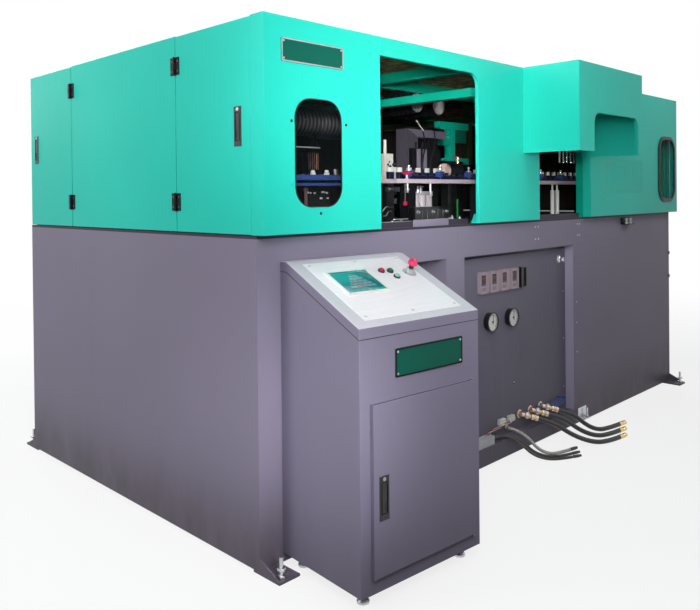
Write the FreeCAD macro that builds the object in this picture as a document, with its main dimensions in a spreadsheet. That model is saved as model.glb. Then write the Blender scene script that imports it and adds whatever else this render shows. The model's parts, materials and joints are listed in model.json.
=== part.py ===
"""A linear stretch blow moulding machine: a sheet steel base cabinet with a machine deck, an open topped
enclosure of folded covers and doors above it, a projecting take-off hood, the mandrel train, mould
clamp and stretch gantry inside, a recessed service panel, and a free-standing sloping control console.

Frame: millimetres, +Z up, X to the right along the front, the front facing -Y. The origin lies on the
floor, at the centre of the four anchor holes in the feet, which is the centre of the base cabinet.
"""
import FreeCAD, Part
import math
import os

import Sketcher
from FreeCAD import Placement, Rotation, Vector

SIZES = {
    # Base cabinet, deck and feet. Places along the front are measured from the cabinet's left end.
    "base_length": 4100, "base_width": 2130, "base_top": 1330, "base_lift": 10,
    "base_wall": 5, "deck_thick": 12,
    "bay_left": 130, "bay_right": 1217, "bay_sill": 115, "bay_head": 1158, "bay_depth": 340,
    "recess_left": 1374, "recess_right": 2552, "recess_depth": 58, "recess_head": 1158,
    "sill_top": 105, "panel_sheet": 3,
    "foot_length": 105, "foot_reach": 118, "foot_under": 40, "gusset_thick": 10, "gusset_rise": 50,
    "anchor_inset": 75, "anchor_reach": 60, "anchor_hole": 9,
    "stud_inset": 32, "stud_reach": 92, "stud_radius": 8, "stud_height": 92, "nut_radius": 13.5,
    "nut_height": 13, "running_gap": 0.05,
    # Enclosure above the deck.
    "machine_height": 2200, "cover_gap": 3, "cover_sheet": 2, "cover_proud": 55, "corner_return": 28,
    "seam": 3, "fold": 3, "door_depth": 25, "frame_inset": 27, "tube": 50, "beam": 60, "seat": 0.3,
    "left_cover_width": 671, "opening_right": 1434, "opening_top": 2115, "opening_round": 60,
    "lip_depth": 20, "bridge_right": 2051, "portal_at": 1450, "open_post_at": 1590, "portal_two_at": 2690,
    "low_beam_bottom": 2006, "low_beam_height": 45, "stay_bottom": 1952, "stay_back": 900,
    "stay_drop": 250, "stay_post_at": 2465, "receiver_radius": 33, "receiver_length": 385,
    "hood_left": 1873, "hood_right": 2675, "hood_reach": 343, "hood_bottom": 1716,
    "notch_left": 2044, "notch_right": 2615, "notch_top": 1934, "notch_round": 62,
    "right_cover_left": 2687, "right_overhang": 28,
    "window_width": 263, "window_height": 444, "window_round": 85, "window_bottom": 1440,
    "left_window_at": 157, "right_window_from_end": 311, "pane_thick": 4, "pane_lap": 22,
    "gasket_width": 26, "gasket_thick": 8,
    "vent_left": 2876, "vent_bottom": 1484, "vent_pitch": 32.5, "vent_slot": 17, "vent_height": 7,
    "vent_rise": 14.5,
    "hinge_near": 565, "hinge_far": 1595, "hinge_low": 1465, "hinge_high": 2066, "hinge_height": 78,
    "leaf_width": 34, "leaf_thick": 3, "knuckle_radius": 6.5, "hinge_pin_radius": 3,
    "latch_width": 46, "latch_height": 160, "latch_at": 1768, "latch_from_edge": 80,
    "latch_depth": 14, "lever_width": 22, "lever_length": 92, "lever_pin": 4,
    "plate_width": 345, "plate_height": 95, "plate_at": 88, "plate_bottom": 2020, "plate_thick": 3,
    "back_panels": 4,
    # Console, in its own frame: across its front, into its depth and up from the floor.
    "console_left": 76, "console_turn": 5, "console_width": 650, "console_depth": 478,
    "console_lift": 50, "console_front_top": 973, "console_back_top": 1184, "console_flat": 40,
    "desk_lip": 40, "console_sheet": 2, "console_seam": 0.3,
    "door_side": 48, "door_right_edge": 598, "door_foot": 60, "console_door_top": 738,
    "door_gap": 0.5, "door_fold": 18, "handle_from_edge": 72, "console_handle_at": 395,
    "console_plate_width": 372, "console_plate_height": 108, "console_plate_left": 175,
    "console_plate_bottom": 812, "desk_plate_inset": 62, "desk_plate_front": 42,
    "desk_plate_back": 30, "desk_plate_thick": 1.5,
    "screen_width": 218, "screen_depth": 172, "screen_left": 112, "screen_front": 205,
    "screen_thick": 7, "button_radius": 11, "button_collar": 15.5, "button_travel": 4,
    "stop_radius": 20, "stop_height": 24, "stop_stem": 11, "stop_travel": 6,
    # Service panel.
    "panel_fit": 0.3, "gauge_radius": 55, "gauge_depth": 34, "gauge_height": 773, "gauge_one": 1680, "gauge_two": 1892,
    "module_width": 74, "module_height": 119, "module_first": 1575, "module_pitch": 104.5,
    "module_bottom": 936, "module_proud": 22, "knob_at": 2470, "knob_height": 1068,
    "knob_radius": 17,
    "trunking_end": 1655, "cable_hole_at": 1938, "fitting_first": 1985, "fitting_pitch": 118, "fitting_height": 190,
    "fitting_reach": 110, "hose_radius": 13.5, "cable_radius": 8, "sheath_radius": 9,
    # Machinery on the deck.
    "rail_front": 210, "rail_depth": 110, "rail_top": 1570, "rail_thick": 22, "rail_left": 1085,
    "rail_end_gap": 150, "post_size": 60,
    "train_pitch": 270, "train_count": 10, "block_width": 38, "block_depth": 34, "block_height": 44,
    "mandrel_radius": 11, "mandrel_height": 30, "train_first": 127,
    "wheel_at": 640, "wheel_back": 640, "wheel_radius": 450, "wheel_disc": 24, "wheel_low": 1533,
    "wheel_gap": 14, "wheel_shaft": 38, "wheel_lugs": 12, "lug_radius": 10, "lug_height": 28,
    "gantry_left": 1665, "gantry_back": 620, "column_width": 96, "gantry_span": 383,
    "column_inset": 89, "rod_pitch": 60,
    "gantry_top": 1890, "gantry_beam": 46, "head_travel": 150,
    "motor_radius": 63, "motor_length": 390, "motor_height": 2052, "motor_one": 1729,
    "motor_two": 1946, "motor_front": 600,
    "mould_left": 2150, "mould_width": 380, "mould_back": 1180, "mould_height": 300,
    "mould_bottom": 1420, "mould_travel": 110, "platen_thick": 60,
    "bowl_radius": 24, "bowl_height": 78, "duct_radius": 72, "duct_ribs": 26, "duct_length": 620,
    "duct_back": 330, "duct_height": 1835,
}


class Size:
    """A length that keeps, beside its number, the expression that ties it to the sheet."""

    def __init__(self, text, value):
        self.text = text
        self.value = value

    def combine(self, sign, other, swap=False):
        """Joins two sizes, or a size and a number, with one arithmetic sign."""
        other = size(other)
        first, second = (other, self) if swap else (self, other)
        results = {
            "+": lambda: first.value + second.value,
            "-": lambda: first.value - second.value,
            "*": lambda: first.value * second.value,
            "/": lambda: first.value / second.value,
        }
        return Size("({} {} {})".format(first.text, sign, second.text), results[sign]())

    def __add__(self, other):
        return self.combine("+", other)

    def __radd__(self, other):
        return self.combine("+", other, swap=True)

    def __sub__(self, other):
        return self.combine("-", other)

    def __rsub__(self, other):
        return self.combine("-", other, swap=True)

    def __mul__(self, other):
        return self.combine("*", other)

    def __rmul__(self, other):
        return self.combine("*", other, swap=True)

    def __truediv__(self, other):
        return self.combine("/", other)

    def __neg__(self):
        return size(0) - self

    def __float__(self):
        return float(self.value)


def size(value):
    """Any number or size, as a Size."""
    return value if isinstance(value, Size) else Size(repr(float(value)), float(value))


def slope_angle(rise, run):
    """The angle of a slope, in degrees."""
    angle = math.degrees(math.atan2(float(rise), float(run)))
    return Size("atan({} / {})".format(size(rise).text, size(run).text), angle)


doc = FreeCAD.newDocument("BlowMouldingMachine")
sheet = doc.addObject("Spreadsheet::Sheet", "Sizes")
for row, (alias, number) in enumerate(SIZES.items(), start=1):
    sheet.set("A{}".format(row), alias.replace("_", " "))
    sheet.set("B{}".format(row), str(number))
    sheet.setAlias("B{}".format(row), alias)
doc.recompute()


class Sheet:
    """The sheet's cells, read as sizes by name."""

    def __getattr__(self, alias):
        return Size("Sizes." + alias, float(SIZES[alias]))


s = Sheet()
NODES = {}
TO_X = Rotation(Vector(0, 1, 0), 90)
TO_Y = Rotation(Vector(1, 0, 0), -90)
UPRIGHT = Rotation()


# ---------------------------------------------------------------- building blocks

def bind(obj, path, value):
    """Ties one property to a size."""
    obj.setExpression(path, size(value).text)


def place(obj, x=0, y=0, z=0, rotation=UPRIGHT):
    """Puts an object at a bound place, with a fixed rotation."""
    obj.Placement = Placement(Vector(float(x), float(y), float(z)), rotation)
    for axis, value in (("x", x), ("y", y), ("z", z)):
        bind(obj, "Placement.Base." + axis, value)
    return obj


def block(name, x, y, z):
    """A rectangular block between two bounds on each axis."""
    obj = doc.addObject("Part::Box", name)
    for side, (low, high) in (("Length", x), ("Width", y), ("Height", z)):
        bind(obj, side, size(high) - low)
    return place(obj, x[0], y[0], z[0])


def rod(name, centre, radius, length, axis="Z"):
    """A cylinder that starts at centre and runs along a positive axis."""
    obj = doc.addObject("Part::Cylinder", name)
    bind(obj, "Radius", radius)
    bind(obj, "Height", length)
    turn = {"X": TO_X, "Y": TO_Y, "Z": UPRIGHT}[axis]
    return place(obj, centre[0], centre[1], centre[2], turn)


def join(name, parts):
    """One solid from touching pieces."""
    obj = doc.addObject("Part::MultiFuse", name)
    obj.Shapes = list(parts)
    obj.Refine = True
    return obj


def cut(name, base, tools):
    """The base less one tool, or less several taken together."""
    tools = list(tools)
    obj = doc.addObject("Part::Cut", name)
    obj.Base = base
    obj.Tool = tools[0] if len(tools) == 1 else group(name + "_tools", tools)
    return obj


def side_value(x, y, z, side):
    """The bound that one side of a box lies on, from its extent on each axis."""
    extent = {"x": x, "y": y, "z": z}[side[1]]
    return size(extent[1]) - extent[0] if side[0] == "+" else size(0)


def edges_on(shape, axis, value):
    """The names of the edges that lie wholly in one plane across an axis."""
    return ["Edge{}".format(number) for number, edge in enumerate(shape.Edges, start=1)
            if all(abs(getattr(vertex.Point, axis) - value) < 1e-3 for vertex in edge.Vertexes)]


def folded(name, x, y, z, wall, open_sides, fold_sides):
    """A box of folded sheet: rounded along its fold lines, then hollowed from its open sides."""
    body = new_body(name)
    solid = body.newObject("PartDesign::AdditiveBox", "Blank")
    for edge, (low, high) in (("Length", x), ("Width", y), ("Height", z)):
        bind(solid, edge, size(high) - low)
    doc.recompute([solid, body])
    shape = solid.Shape
    kept = set()
    for side in fold_sides:
        kept |= set(edges_on(shape, side[1], float(side_value(x, y, z, side))))
    for side in open_sides:
        kept -= set(edges_on(shape, side[1], float(side_value(x, y, z, side))))
    bend = body.newObject("PartDesign::Fillet", "Folds")
    bend.Base = (solid, sorted(kept))
    bind(bend, "Radius", s.fold)
    doc.recompute([bend, body])
    faces = []
    for number, face in enumerate(bend.Shape.Faces, start=1):
        for side in open_sides:
            middle = getattr(face.CenterOfMass, side[1])
            flat = isinstance(face.Surface, Part.Plane)
            if flat and abs(middle - float(side_value(x, y, z, side))) < 1e-3:
                faces.append("Face{}".format(number))
    skin = body.newObject("PartDesign::Thickness", "Skin")
    skin.Base = (bend, faces)
    bind(skin, "Value", wall)
    skin.Reversed = True
    body.Tip = skin
    return place(body, x[0], y[0], z[0])


def round_edges(body, feature, radius, wanted):
    """Rounds the edges of a body's last feature that pass a test on their two ends."""
    doc.recompute([feature, body])
    names = []
    for number, edge in enumerate(feature.Shape.Edges, start=1):
        ends = [vertex.Point for vertex in edge.Vertexes]
        if len(ends) == 2 and wanted(ends[0], ends[1]):
            names.append("Edge{}".format(number))
    bend = body.newObject("PartDesign::Fillet", "Folds")
    bend.Base = (feature, names)
    bind(bend, "Radius", radius)
    body.Tip = bend
    return bend


def group(name, parts):
    """Separate solids kept as one node."""
    obj = doc.addObject("Part::Compound", name)
    obj.Links = list(parts)
    return obj


def new_body(name):
    """An empty body for sketched features."""
    return doc.addObject("PartDesign::Body", name)


def new_sketch(body, plane, name="Profile"):
    """A sketch on one of the body's own origin planes."""
    sketch = body.newObject("Sketcher::SketchObject", name)
    support = next(item for item in body.Origin.OriginFeatures if item.Role == plane)
    sketch.AttachmentSupport = [(support, "")]
    sketch.MapMode = "FlatFace"
    return sketch


def tie(sketch, constraint, value):
    """Adds a dimension to a sketch and binds it."""
    index = sketch.addConstraint(constraint)
    bind(sketch, "Constraints[{}]".format(index), value)


def polygon(sketch, corners):
    """A closed outline of straight lines through bound corners."""
    corners = [(size(a), size(b)) for a, b in corners]
    first = sketch.GeometryCount
    count = len(corners)
    for i, (a, b) in enumerate(corners):
        c, d = corners[(i + 1) % count]
        line = Part.LineSegment(Vector(float(a), float(b), 0), Vector(float(c), float(d), 0))
        sketch.addGeometry(line, False)
    for i in range(count):
        follower = first + (i + 1) % count
        sketch.addConstraint(Sketcher.Constraint("Coincident", first + i, 2, follower, 1))
    for i, (a, b) in enumerate(corners):
        tie(sketch, Sketcher.Constraint("DistanceX", -1, 1, first + i, 1, float(a)), a)
        tie(sketch, Sketcher.Constraint("DistanceY", -1, 1, first + i, 1, float(b)), b)


def square_outline(sketch, corners, rounds=None):
    """A closed outline of level and upright lines, with some of its corners rounded.

    rounds gives the radius for the number of each rounded corner.
    """
    corners = [(size(a), size(b)) for a, b in corners]
    rounds = rounds or {}
    count = len(corners)
    points = [Vector(float(a), float(b), 0) for a, b in corners]
    ways = [(points[(i + 1) % count] - points[i]).normalize() for i in range(count)]
    lines = []
    for i in range(count):
        after = (i + 1) % count
        start = points[i] + ways[i] * float(rounds.get(i, 0))
        end = points[after] - ways[i] * float(rounds.get(after, 0))
        lines.append(sketch.addGeometry(Part.LineSegment(start, end), False))
    for i, line in enumerate(lines):
        level = abs(ways[i].y) < 0.5
        kind, index = ("Horizontal", 1) if level else ("Vertical", 0)
        sketch.addConstraint(Sketcher.Constraint(kind, line))
        value = corners[i][index]
        name = "DistanceY" if level else "DistanceX"
        tie(sketch, Sketcher.Constraint(name, -1, 1, line, 1, float(value)), value)
    for i in range(count):
        before = lines[i - 1]
        if i not in rounds:
            sketch.addConstraint(Sketcher.Constraint("Coincident", before, 2, lines[i], 1))
            continue
        radius = float(rounds[i])
        centre = points[i] - ways[i - 1] * radius + ways[i] * radius
        turn_left = ways[i - 1].cross(ways[i]).z > 0
        start = points[i] - ways[i - 1] * radius - centre
        end = points[i] + ways[i] * radius - centre
        if not turn_left:
            start, end = end, start
        low = math.atan2(start.y, start.x)
        high = math.atan2(end.y, end.x)
        high += 2 * math.pi if high < low else 0
        circle = Part.Circle(centre, Vector(0, 0, 1), radius)
        arc = sketch.addGeometry(Part.ArcOfCircle(circle, low, high), False)
        near, far = (1, 2) if turn_left else (2, 1)
        sketch.addConstraint(Sketcher.Constraint("Tangent", before, 2, arc, near))
        sketch.addConstraint(Sketcher.Constraint("Tangent", arc, far, lines[i], 1))
        tie(sketch, Sketcher.Constraint("Radius", arc, radius), rounds[i])


def rectangle(a, b):
    """The corners of a rectangle, anticlockwise."""
    return [(a[0], b[0]), (a[1], b[0]), (a[1], b[1]), (a[0], b[1])]


def pad(body, sketch, length):
    """Thickens a sketch along its normal."""
    feature = body.newObject("PartDesign::Pad", "Pad")
    feature.Profile = sketch
    bind(feature, "Length", length)
    body.Tip = feature
    return feature


def wall_shape(name, corners, y, rounds=None, holes=(), fold=None):
    """An upright plate: an outline in X and Z, thickened between two bounds in Y.

    fold rounds the edges of its front face.
    """
    body = new_body(name)
    sketch = new_sketch(body, "XZ_Plane")
    square_outline(sketch, corners, rounds)
    for hole, hole_rounds in holes:
        square_outline(sketch, hole, hole_rounds)
    depth = size(y[1]) - y[0]
    feature = pad(body, sketch, depth)
    if fold is not None:
        face = -float(depth)
        round_edges(body, feature, fold, lambda a, b: abs(a.y - face) < 1e-3 and abs(b.y - face) < 1e-3)
    return place(body, 0, y[1], 0)


def oval(x, z, radius):
    """A rounded rectangle's corners and radii, for a window or its pane."""
    return rectangle(x, z), {i: radius for i in range(4)}


def turned(name, profile, centre=(0, 0, 0), rotation=UPRIGHT):
    """A turned piece: a half profile of (radius, height) corners, revolved about its own Z axis."""
    body = new_body(name)
    sketch = new_sketch(body, "XZ_Plane")
    polygon(sketch, profile)
    feature = body.newObject("PartDesign::Revolution", "Turn")
    feature.Profile = sketch
    feature.ReferenceAxis = (sketch, ["V_Axis"])
    feature.Angle = 360
    body.Tip = feature
    return place(body, centre[0], centre[1], centre[2], rotation)


def tray(name, x, y, z, wall, open_side):
    """A folded tray: a block hollowed from one side, with walls all round."""
    outer = block(name + "_outer", x, y, z)
    inner = {"x": [x[0] + wall, x[1] - wall], "y": [y[0] + wall, y[1] - wall],
             "z": [z[0] + wall, z[1] - wall]}
    axis, end = open_side[1], open_side[0]
    bounds = {"x": x, "y": y, "z": z}[axis]
    index = 1 if end == "+" else 0
    inner[axis][index] = bounds[index] + (wall if end == "+" else -wall)
    hollow = block(name + "_hollow", inner["x"], inner["y"], inner["z"])
    return cut(name, outer, [hollow])


def node(name, obj):
    """Names a finished sub-part, which is written under its label."""
    obj.Label = name
    NODES[name] = obj
    return obj


# ---------------------------------------------------------------- shared places

left = -s.base_length / 2
right = s.base_length / 2
front = -s.base_width / 2
back = s.base_width / 2
cover_bottom = s.base_top + s.cover_gap
top = s.machine_height
deck = s.base_top
proud = front - s.cover_proud
frame_left = left + s.frame_inset
frame_right = right - s.frame_inset
frame_back = back - s.door_depth


def along(distance):
    """A place measured from the cabinet's left end."""
    return left + distance


def behind(distance):
    """A place measured back from the cabinet's front."""
    return front + distance


# ---------------------------------------------------------------- base cabinet

def wheel_post():
    """The bearing post that the chain wheel turns on, welded to the deck."""
    hub, low = s.wheel_shaft, s.wheel_low
    upper = low + s.wheel_disc / 2 + s.wheel_gap
    sunk = deck - s.deck_thick / 2
    return turned("WheelShaft", [
        (0, sunk), (hub + 60, sunk), (hub + 60, deck + 24), (hub + 20, deck + 30), (hub + 20, low - s.seat),
        (hub, low - s.seat), (hub, upper + s.wheel_disc + 60), (0, upper + s.wheel_disc + 60)],
        (along(s.wheel_at), behind(s.wheel_back), 0))


def build_base():
    """The welded cabinet with its bay, the deck, the feet and the service recess."""
    wall = s.base_wall
    under = s.base_top - s.deck_thick
    shell = cut("CabinetWalls", block("CabinetBlock", (left, right), (front, back), (s.base_lift, under)), [
        block("CabinetInside", (left + wall, right - wall), (front + wall, back - wall),
              (s.base_lift - 1, under + 1)),
        block("BayMouth", (along(s.bay_left), along(s.bay_right)), (front - 1, front + wall + 1),
              (s.bay_sill, s.bay_head)),
        block("RecessMouth", (along(s.recess_left), along(s.recess_right)),
              (front - 1, front + wall + 1), (s.base_lift - 1, s.recess_head)),
    ])
    bay_x = (along(s.bay_left), along(s.bay_right))
    liner = cut("BayLiner", block("BayBlock", (bay_x[0] - wall, bay_x[1] + wall),
                                  (front + wall, behind(s.bay_depth)),
                                  (s.bay_sill - wall, s.bay_head + wall)), [
        block("BayInside", bay_x, (front, behind(s.bay_depth) - wall), (s.bay_sill, s.bay_head))])
    node("base_cabinet", join("Cabinet", [shell, liner]))
    plate = block("DeckSheet", (left, right), (front, back), (under, deck))
    kerbs = [block("DeckKerb", (along(start), along(end)), (behind(6), behind(66)), (under + 1, deck + 28))
             for start, end in ((690, 1420), (2066, 2640))]
    node("deck_plate", join("DeckWithPost", [plate, wheel_post()] + kerbs))

    # The recess is one folded tray, let into the cabinet's front, with the sill below it.
    x = (along(s.recess_left), along(s.recess_right))
    y = (front, behind(s.recess_depth) + s.panel_sheet)
    z = (s.base_lift, s.recess_head)
    sheet_wall = s.panel_sheet
    pan = cut("RecessPan", block("RecessBlock", x, y, z), [
        block("RecessHollow", (x[0] + sheet_wall, x[1] - sheet_wall), (front - 1, behind(s.recess_depth)),
              (s.sill_top, z[1] - sheet_wall)),
        block("SillHollow", (x[0] + sheet_wall, x[1] - sheet_wall), (front + sheet_wall, y[1] + 1),
              (s.base_lift - 1, s.sill_top - sheet_wall))])
    holes = [rod("GaugeHole", (along(at), behind(s.recess_depth - 5), s.gauge_height),
                 s.gauge_radius - 12 + s.panel_fit, 20, "Y") for at in (s.gauge_one, s.gauge_two)]
    holes.append(rod("KnobHole", (along(s.knob_at), behind(s.recess_depth - 5), s.knob_height), 6, 20, "Y"))
    holes.append(rod("CableHole", (along(s.cable_hole_at), behind(s.recess_depth - 5), 387), 7, 20, "Y"))
    node("recess_tray", cut("RecessTray", pan, holes))

    plates, studs = [], []
    for number, (end, side) in enumerate(((left, front), (right, front), (left, back), (right, back))):
        inward = 1 if end is left else -1
        outward = -1 if side is front else 1
        x = sorted((end, end + inward * s.foot_length), key=float)
        y = sorted((side + outward * s.foot_reach, side - outward * s.foot_under), key=float)
        plate = block("FootPlate", x, y, (0, s.base_lift))
        rib = new_body("FootRib")
        sketch = new_sketch(rib, "YZ_Plane")
        polygon(sketch, [(0, 0), (outward * (s.foot_reach - 8), 0), (0, s.gusset_rise)])
        pad(rib, sketch, s.gusset_thick)
        place(rib, end if inward > 0 else end - s.gusset_thick, side, s.base_lift)
        foot = join("Foot", [plate, rib])
        anchor = rod("AnchorHole", (end + inward * s.anchor_inset, side + outward * s.anchor_reach, -1),
                     s.anchor_hole, s.base_lift + 2)
        stud_at = (end + inward * s.stud_inset, side + outward * s.stud_reach)
        bore = rod("StudHole", (stud_at[0], stud_at[1], -1), s.stud_radius + s.running_gap,
                   s.base_lift + 2)
        plates.append(cut("FootDrilled", foot, [anchor, bore]))
        studs.append(turned("FootStud", [
            (0, 0), (s.stud_radius, 0), (s.stud_radius, s.base_lift), (s.nut_radius, s.base_lift),
            (s.nut_radius, s.base_lift + s.nut_height), (s.stud_radius, s.base_lift + s.nut_height),
            (s.stud_radius, s.base_lift + 2.2 * s.nut_height), (s.nut_radius, s.base_lift + 2.2 * s.nut_height),
            (s.nut_radius, s.base_lift + 3.2 * s.nut_height), (s.stud_radius, s.base_lift + 3.2 * s.nut_height),
            (s.stud_radius, s.stud_height), (0, s.stud_height)], (stud_at[0], stud_at[1], 0)))
    node("foot_brackets", group("Feet", plates))
    node("levelling_feet", group("LevellingFeet", [group("Studs", studs), console_feet()]))


# ---------------------------------------------------------------- enclosure

def build_frame():
    """The welded tube frame that carries the covers. Each tube butts against the next, face to face."""
    tube = s.tube
    under_beam, under_tube = top - s.beam, top - tube
    ys = ((front, front + tube), (frame_back - tube, frame_back))
    between = (front + tube, frame_back - tube)
    portals = (frame_left, along(s.portal_at), along(s.portal_two_at), frame_right - tube)
    pieces = []
    # The first inner portal's front post stands to the right, clear of the main opening.
    front_posts = (portals[0], along(s.open_post_at)) + portals[2:]
    for x, front_x in zip(portals, front_posts):
        pieces.append(block("FrontPost", (front_x, front_x + tube), ys[0], (deck, under_tube)))
        pieces.append(block("BackPost", (x, x + tube), ys[1], (deck, under_tube)))
        pieces.append(block("CrossRail", (x, x + tube), between, (under_beam, top)))
    for y in ys:
        pieces.append(block("LongRail", (frame_left, frame_right), y, (under_tube, top)))
    low = (s.low_beam_bottom, s.low_beam_bottom + s.low_beam_height)
    for x in portals[1:3]:
        pieces.append(block("LowBeam", (x, x + tube), between, low))
    pieces.append(block("LowLink", (portals[1], front_posts[1]), ys[0], low))
    bay = (portals[1] + tube, portals[2])
    pieces.append(block("MotorRail", bay, (behind(s.motor_front + 120), behind(s.motor_front + 120) + s.beam),
                        (under_beam, top)))
    for at in (s.hinge_near, s.hinge_far):
        pieces.append(block("HingePost", (frame_left, frame_left + tube), (behind(at), behind(at) + tube),
                            (deck, under_beam)))

    # The stays behind the blow station hang from the second portal and carry the air receiver.
    stay_y = (behind(s.stay_back), behind(s.stay_back) + tube)
    stay_x = (portals[2], portals[2] + tube)
    foot = s.stay_bottom - s.stay_drop
    post_x = (along(s.stay_post_at), along(s.stay_post_at) + s.beam)
    pieces += [
        block("StayHanger", stay_x, stay_y, (foot, low[0])),
        block("StayTop", stay_x, stay_y, (low[1], under_beam)),
        block("StayBar", (post_x[0] - 115, stay_x[0]), stay_y, (s.stay_bottom, s.stay_bottom + tube)),
        block("LowStay", (post_x[0] - 40, stay_x[0]), stay_y, (foot, foot + 44)),
        block("StayPost", post_x, stay_y, (foot + 44, s.stay_bottom)),
        block("StaySheet", (post_x[1], stay_x[0]), (stay_y[0] + 20, stay_y[0] + 26),
              (s.stay_bottom - 92, s.stay_bottom)),
        rod("AirReceiver", (post_x[0] - s.receiver_length, stay_y[0] + tube / 2, s.stay_bottom - 84),
            s.receiver_radius, s.receiver_length, "X"),
    ]
    duct_line = behind(s.duct_back)
    for at in (300, 760):
        pieces.append(block("DuctStrap", (along(at), along(at + 24)), (duct_line - 6, duct_line + 6),
                            (s.duct_height + s.duct_radius + s.seat, under_beam)))
        pieces.append(block("DuctArm", (along(at), along(at + 24)), (front + tube, duct_line + 6),
                            (under_beam, top)))

    # The roof is three sheets that lie on the rails, with a seam over each inner portal.
    seams = (frame_left + 3, portals[1] + tube / 2, portals[2] + tube / 2, frame_right - 3)
    for start, end in zip(seams, seams[1:]):
        pieces.append(block("RoofSheet", (start + s.seam / 2, end - s.seam / 2), (front + 3, frame_back - 3),
                            (top, top + s.cover_sheet)))
    node("cover_frame", group("CoverFrame", pieces))


def build_front_covers():
    """The folded front covers, with the windows and the bare plate."""
    skin = s.cover_sheet
    z = (cover_bottom, top)
    window_z = (s.window_bottom, s.window_bottom + s.window_height)

    # Left cover: wraps round the corner and turns in to the frame.
    x = (left, along(s.left_cover_width))
    pan = folded("LeftCoverPan", x, (proud, front), z, skin, ["+y"], ["-y"])
    side = block("CornerReturn", (left, left + skin), (front - skin, behind(s.corner_return)), z)
    flange = block("CornerFlange", (left, frame_left), (behind(s.corner_return) - skin,
                                                         behind(s.corner_return)), z)
    window_x = (along(s.left_window_at), along(s.left_window_at) + s.window_width)
    mouth = wall_shape("LeftWindowMouth", *shape_args(window_x, window_z, s.window_round,
                                                      (proud - 5, front + 5)))
    node("left_front_cover", cut("LeftCover", join("LeftCoverWhole", [pan, side, flange]), [mouth]))

    # Bridge cover: the band over the main opening and the panel beside it, in one sheet.
    opening = [(along(s.left_cover_width) + s.seat, top), (along(s.left_cover_width) + s.seat, s.opening_top),
               (along(s.opening_right), s.opening_top), (along(s.opening_right), cover_bottom),
               (along(s.bridge_right), cover_bottom), (along(s.bridge_right), top)]
    hollow = [(opening[0][0] + skin, top - skin), (opening[0][0] + skin, s.opening_top + skin),
              (along(s.opening_right) + skin, s.opening_top + skin),
              (along(s.opening_right) + skin, cover_bottom + skin),
              (along(s.bridge_right) - skin, cover_bottom + skin), (along(s.bridge_right) - skin, top - skin)]
    face = wall_shape("BridgeFace", opening, (proud, front), {2: s.opening_round}, fold=s.fold)
    inside = wall_shape("BridgeHollow", hollow, (proud + skin, front + 1), {2: s.opening_round + skin})
    trim = block("BridgeTrim", (opening[0][0] + skin, along(s.opening_right) + skin + 1),
                 (proud + s.lip_depth, front + 1), (cover_bottom + skin, s.opening_top + skin + 1))
    node("bridge_cover", cut("BridgeCover", face, [inside, trim]))

    # Right cover: a vent field of louvre slots and a window with a rubber gasket.
    x = (along(s.right_cover_left), right + s.right_overhang)
    pan = folded("RightCoverPan", x, (proud, front), z, skin, ["+y"], ["-y"])
    right_window = right - s.right_window_from_end
    window_x = (right_window, right_window + s.window_width)
    mouth = wall_shape("RightWindowMouth", *shape_args(window_x, window_z, s.window_round,
                                                       (proud - 5, front + 5)))
    node("right_front_cover", cut("RightCover", pan, [mouth, vent_slots()]))

    panes = []
    for start in (along(s.left_window_at), right_window):
        px = (start - s.pane_lap, start + s.window_width + s.pane_lap)
        pz = (window_z[0] - s.pane_lap, window_z[1] + s.pane_lap)
        panes.append(wall_shape("Pane", *shape_args(px, pz, s.window_round + s.pane_lap,
                                                    (proud + skin, proud + skin + s.pane_thick))))
    node("window_panes", group("Panes", panes))
    gx = (window_x[0] - s.gasket_width, window_x[1] + s.gasket_width)
    gz = (window_z[0] - s.gasket_width, window_z[1] + s.gasket_width)
    ring = wall_shape("GasketRing", *shape_args(gx, gz, s.window_round + s.gasket_width,
                                                (proud - s.gasket_thick, proud)),
                      holes=[oval(window_x, window_z, s.window_round)])
    node("window_gasket", ring)

    plate = wall_shape("CoverPlate", *shape_args(
        (along(s.plate_at), along(s.plate_at) + s.plate_width),
        (s.plate_bottom, s.plate_bottom + s.plate_height), size(8), (proud - s.plate_thick, proud)))
    corners = rectangle((s.console_plate_left, s.console_plate_left + s.console_plate_width),
                        (s.console_plate_bottom, s.console_plate_bottom + s.console_plate_height))
    console_one = console_place(wall_shape("ConsolePlate", corners, (-s.plate_thick, 0),
                                           {i: size(6) for i in range(4)}))
    node("blank_plates", group("BlankPlates", [plate, console_one]))


def shape_args(x, z, radius, y):
    """A rounded plate's outline, its bounds in Y and its radii, in wall_shape's order."""
    corners, rounds = oval(x, z, radius)
    return corners, y, rounds


def vent_slots():
    """The grid of vent slots, as one cutting tool."""
    columns, rows = 19, 16
    tool = doc.addObject("Part::Feature", "VentSlots")
    slots = []
    for column in range(columns):
        for level in range(rows):
            x = float(along(s.vent_left)) + column * float(s.vent_pitch)
            z = float(s.vent_bottom) + level * float(s.vent_rise)
            corner = Vector(x, float(proud) - 5, z)
            slots.append(Part.makeBox(float(s.vent_slot), 15, float(s.vent_height), corner))
    tool.Shape = Part.makeCompound(slots)
    return tool


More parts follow.
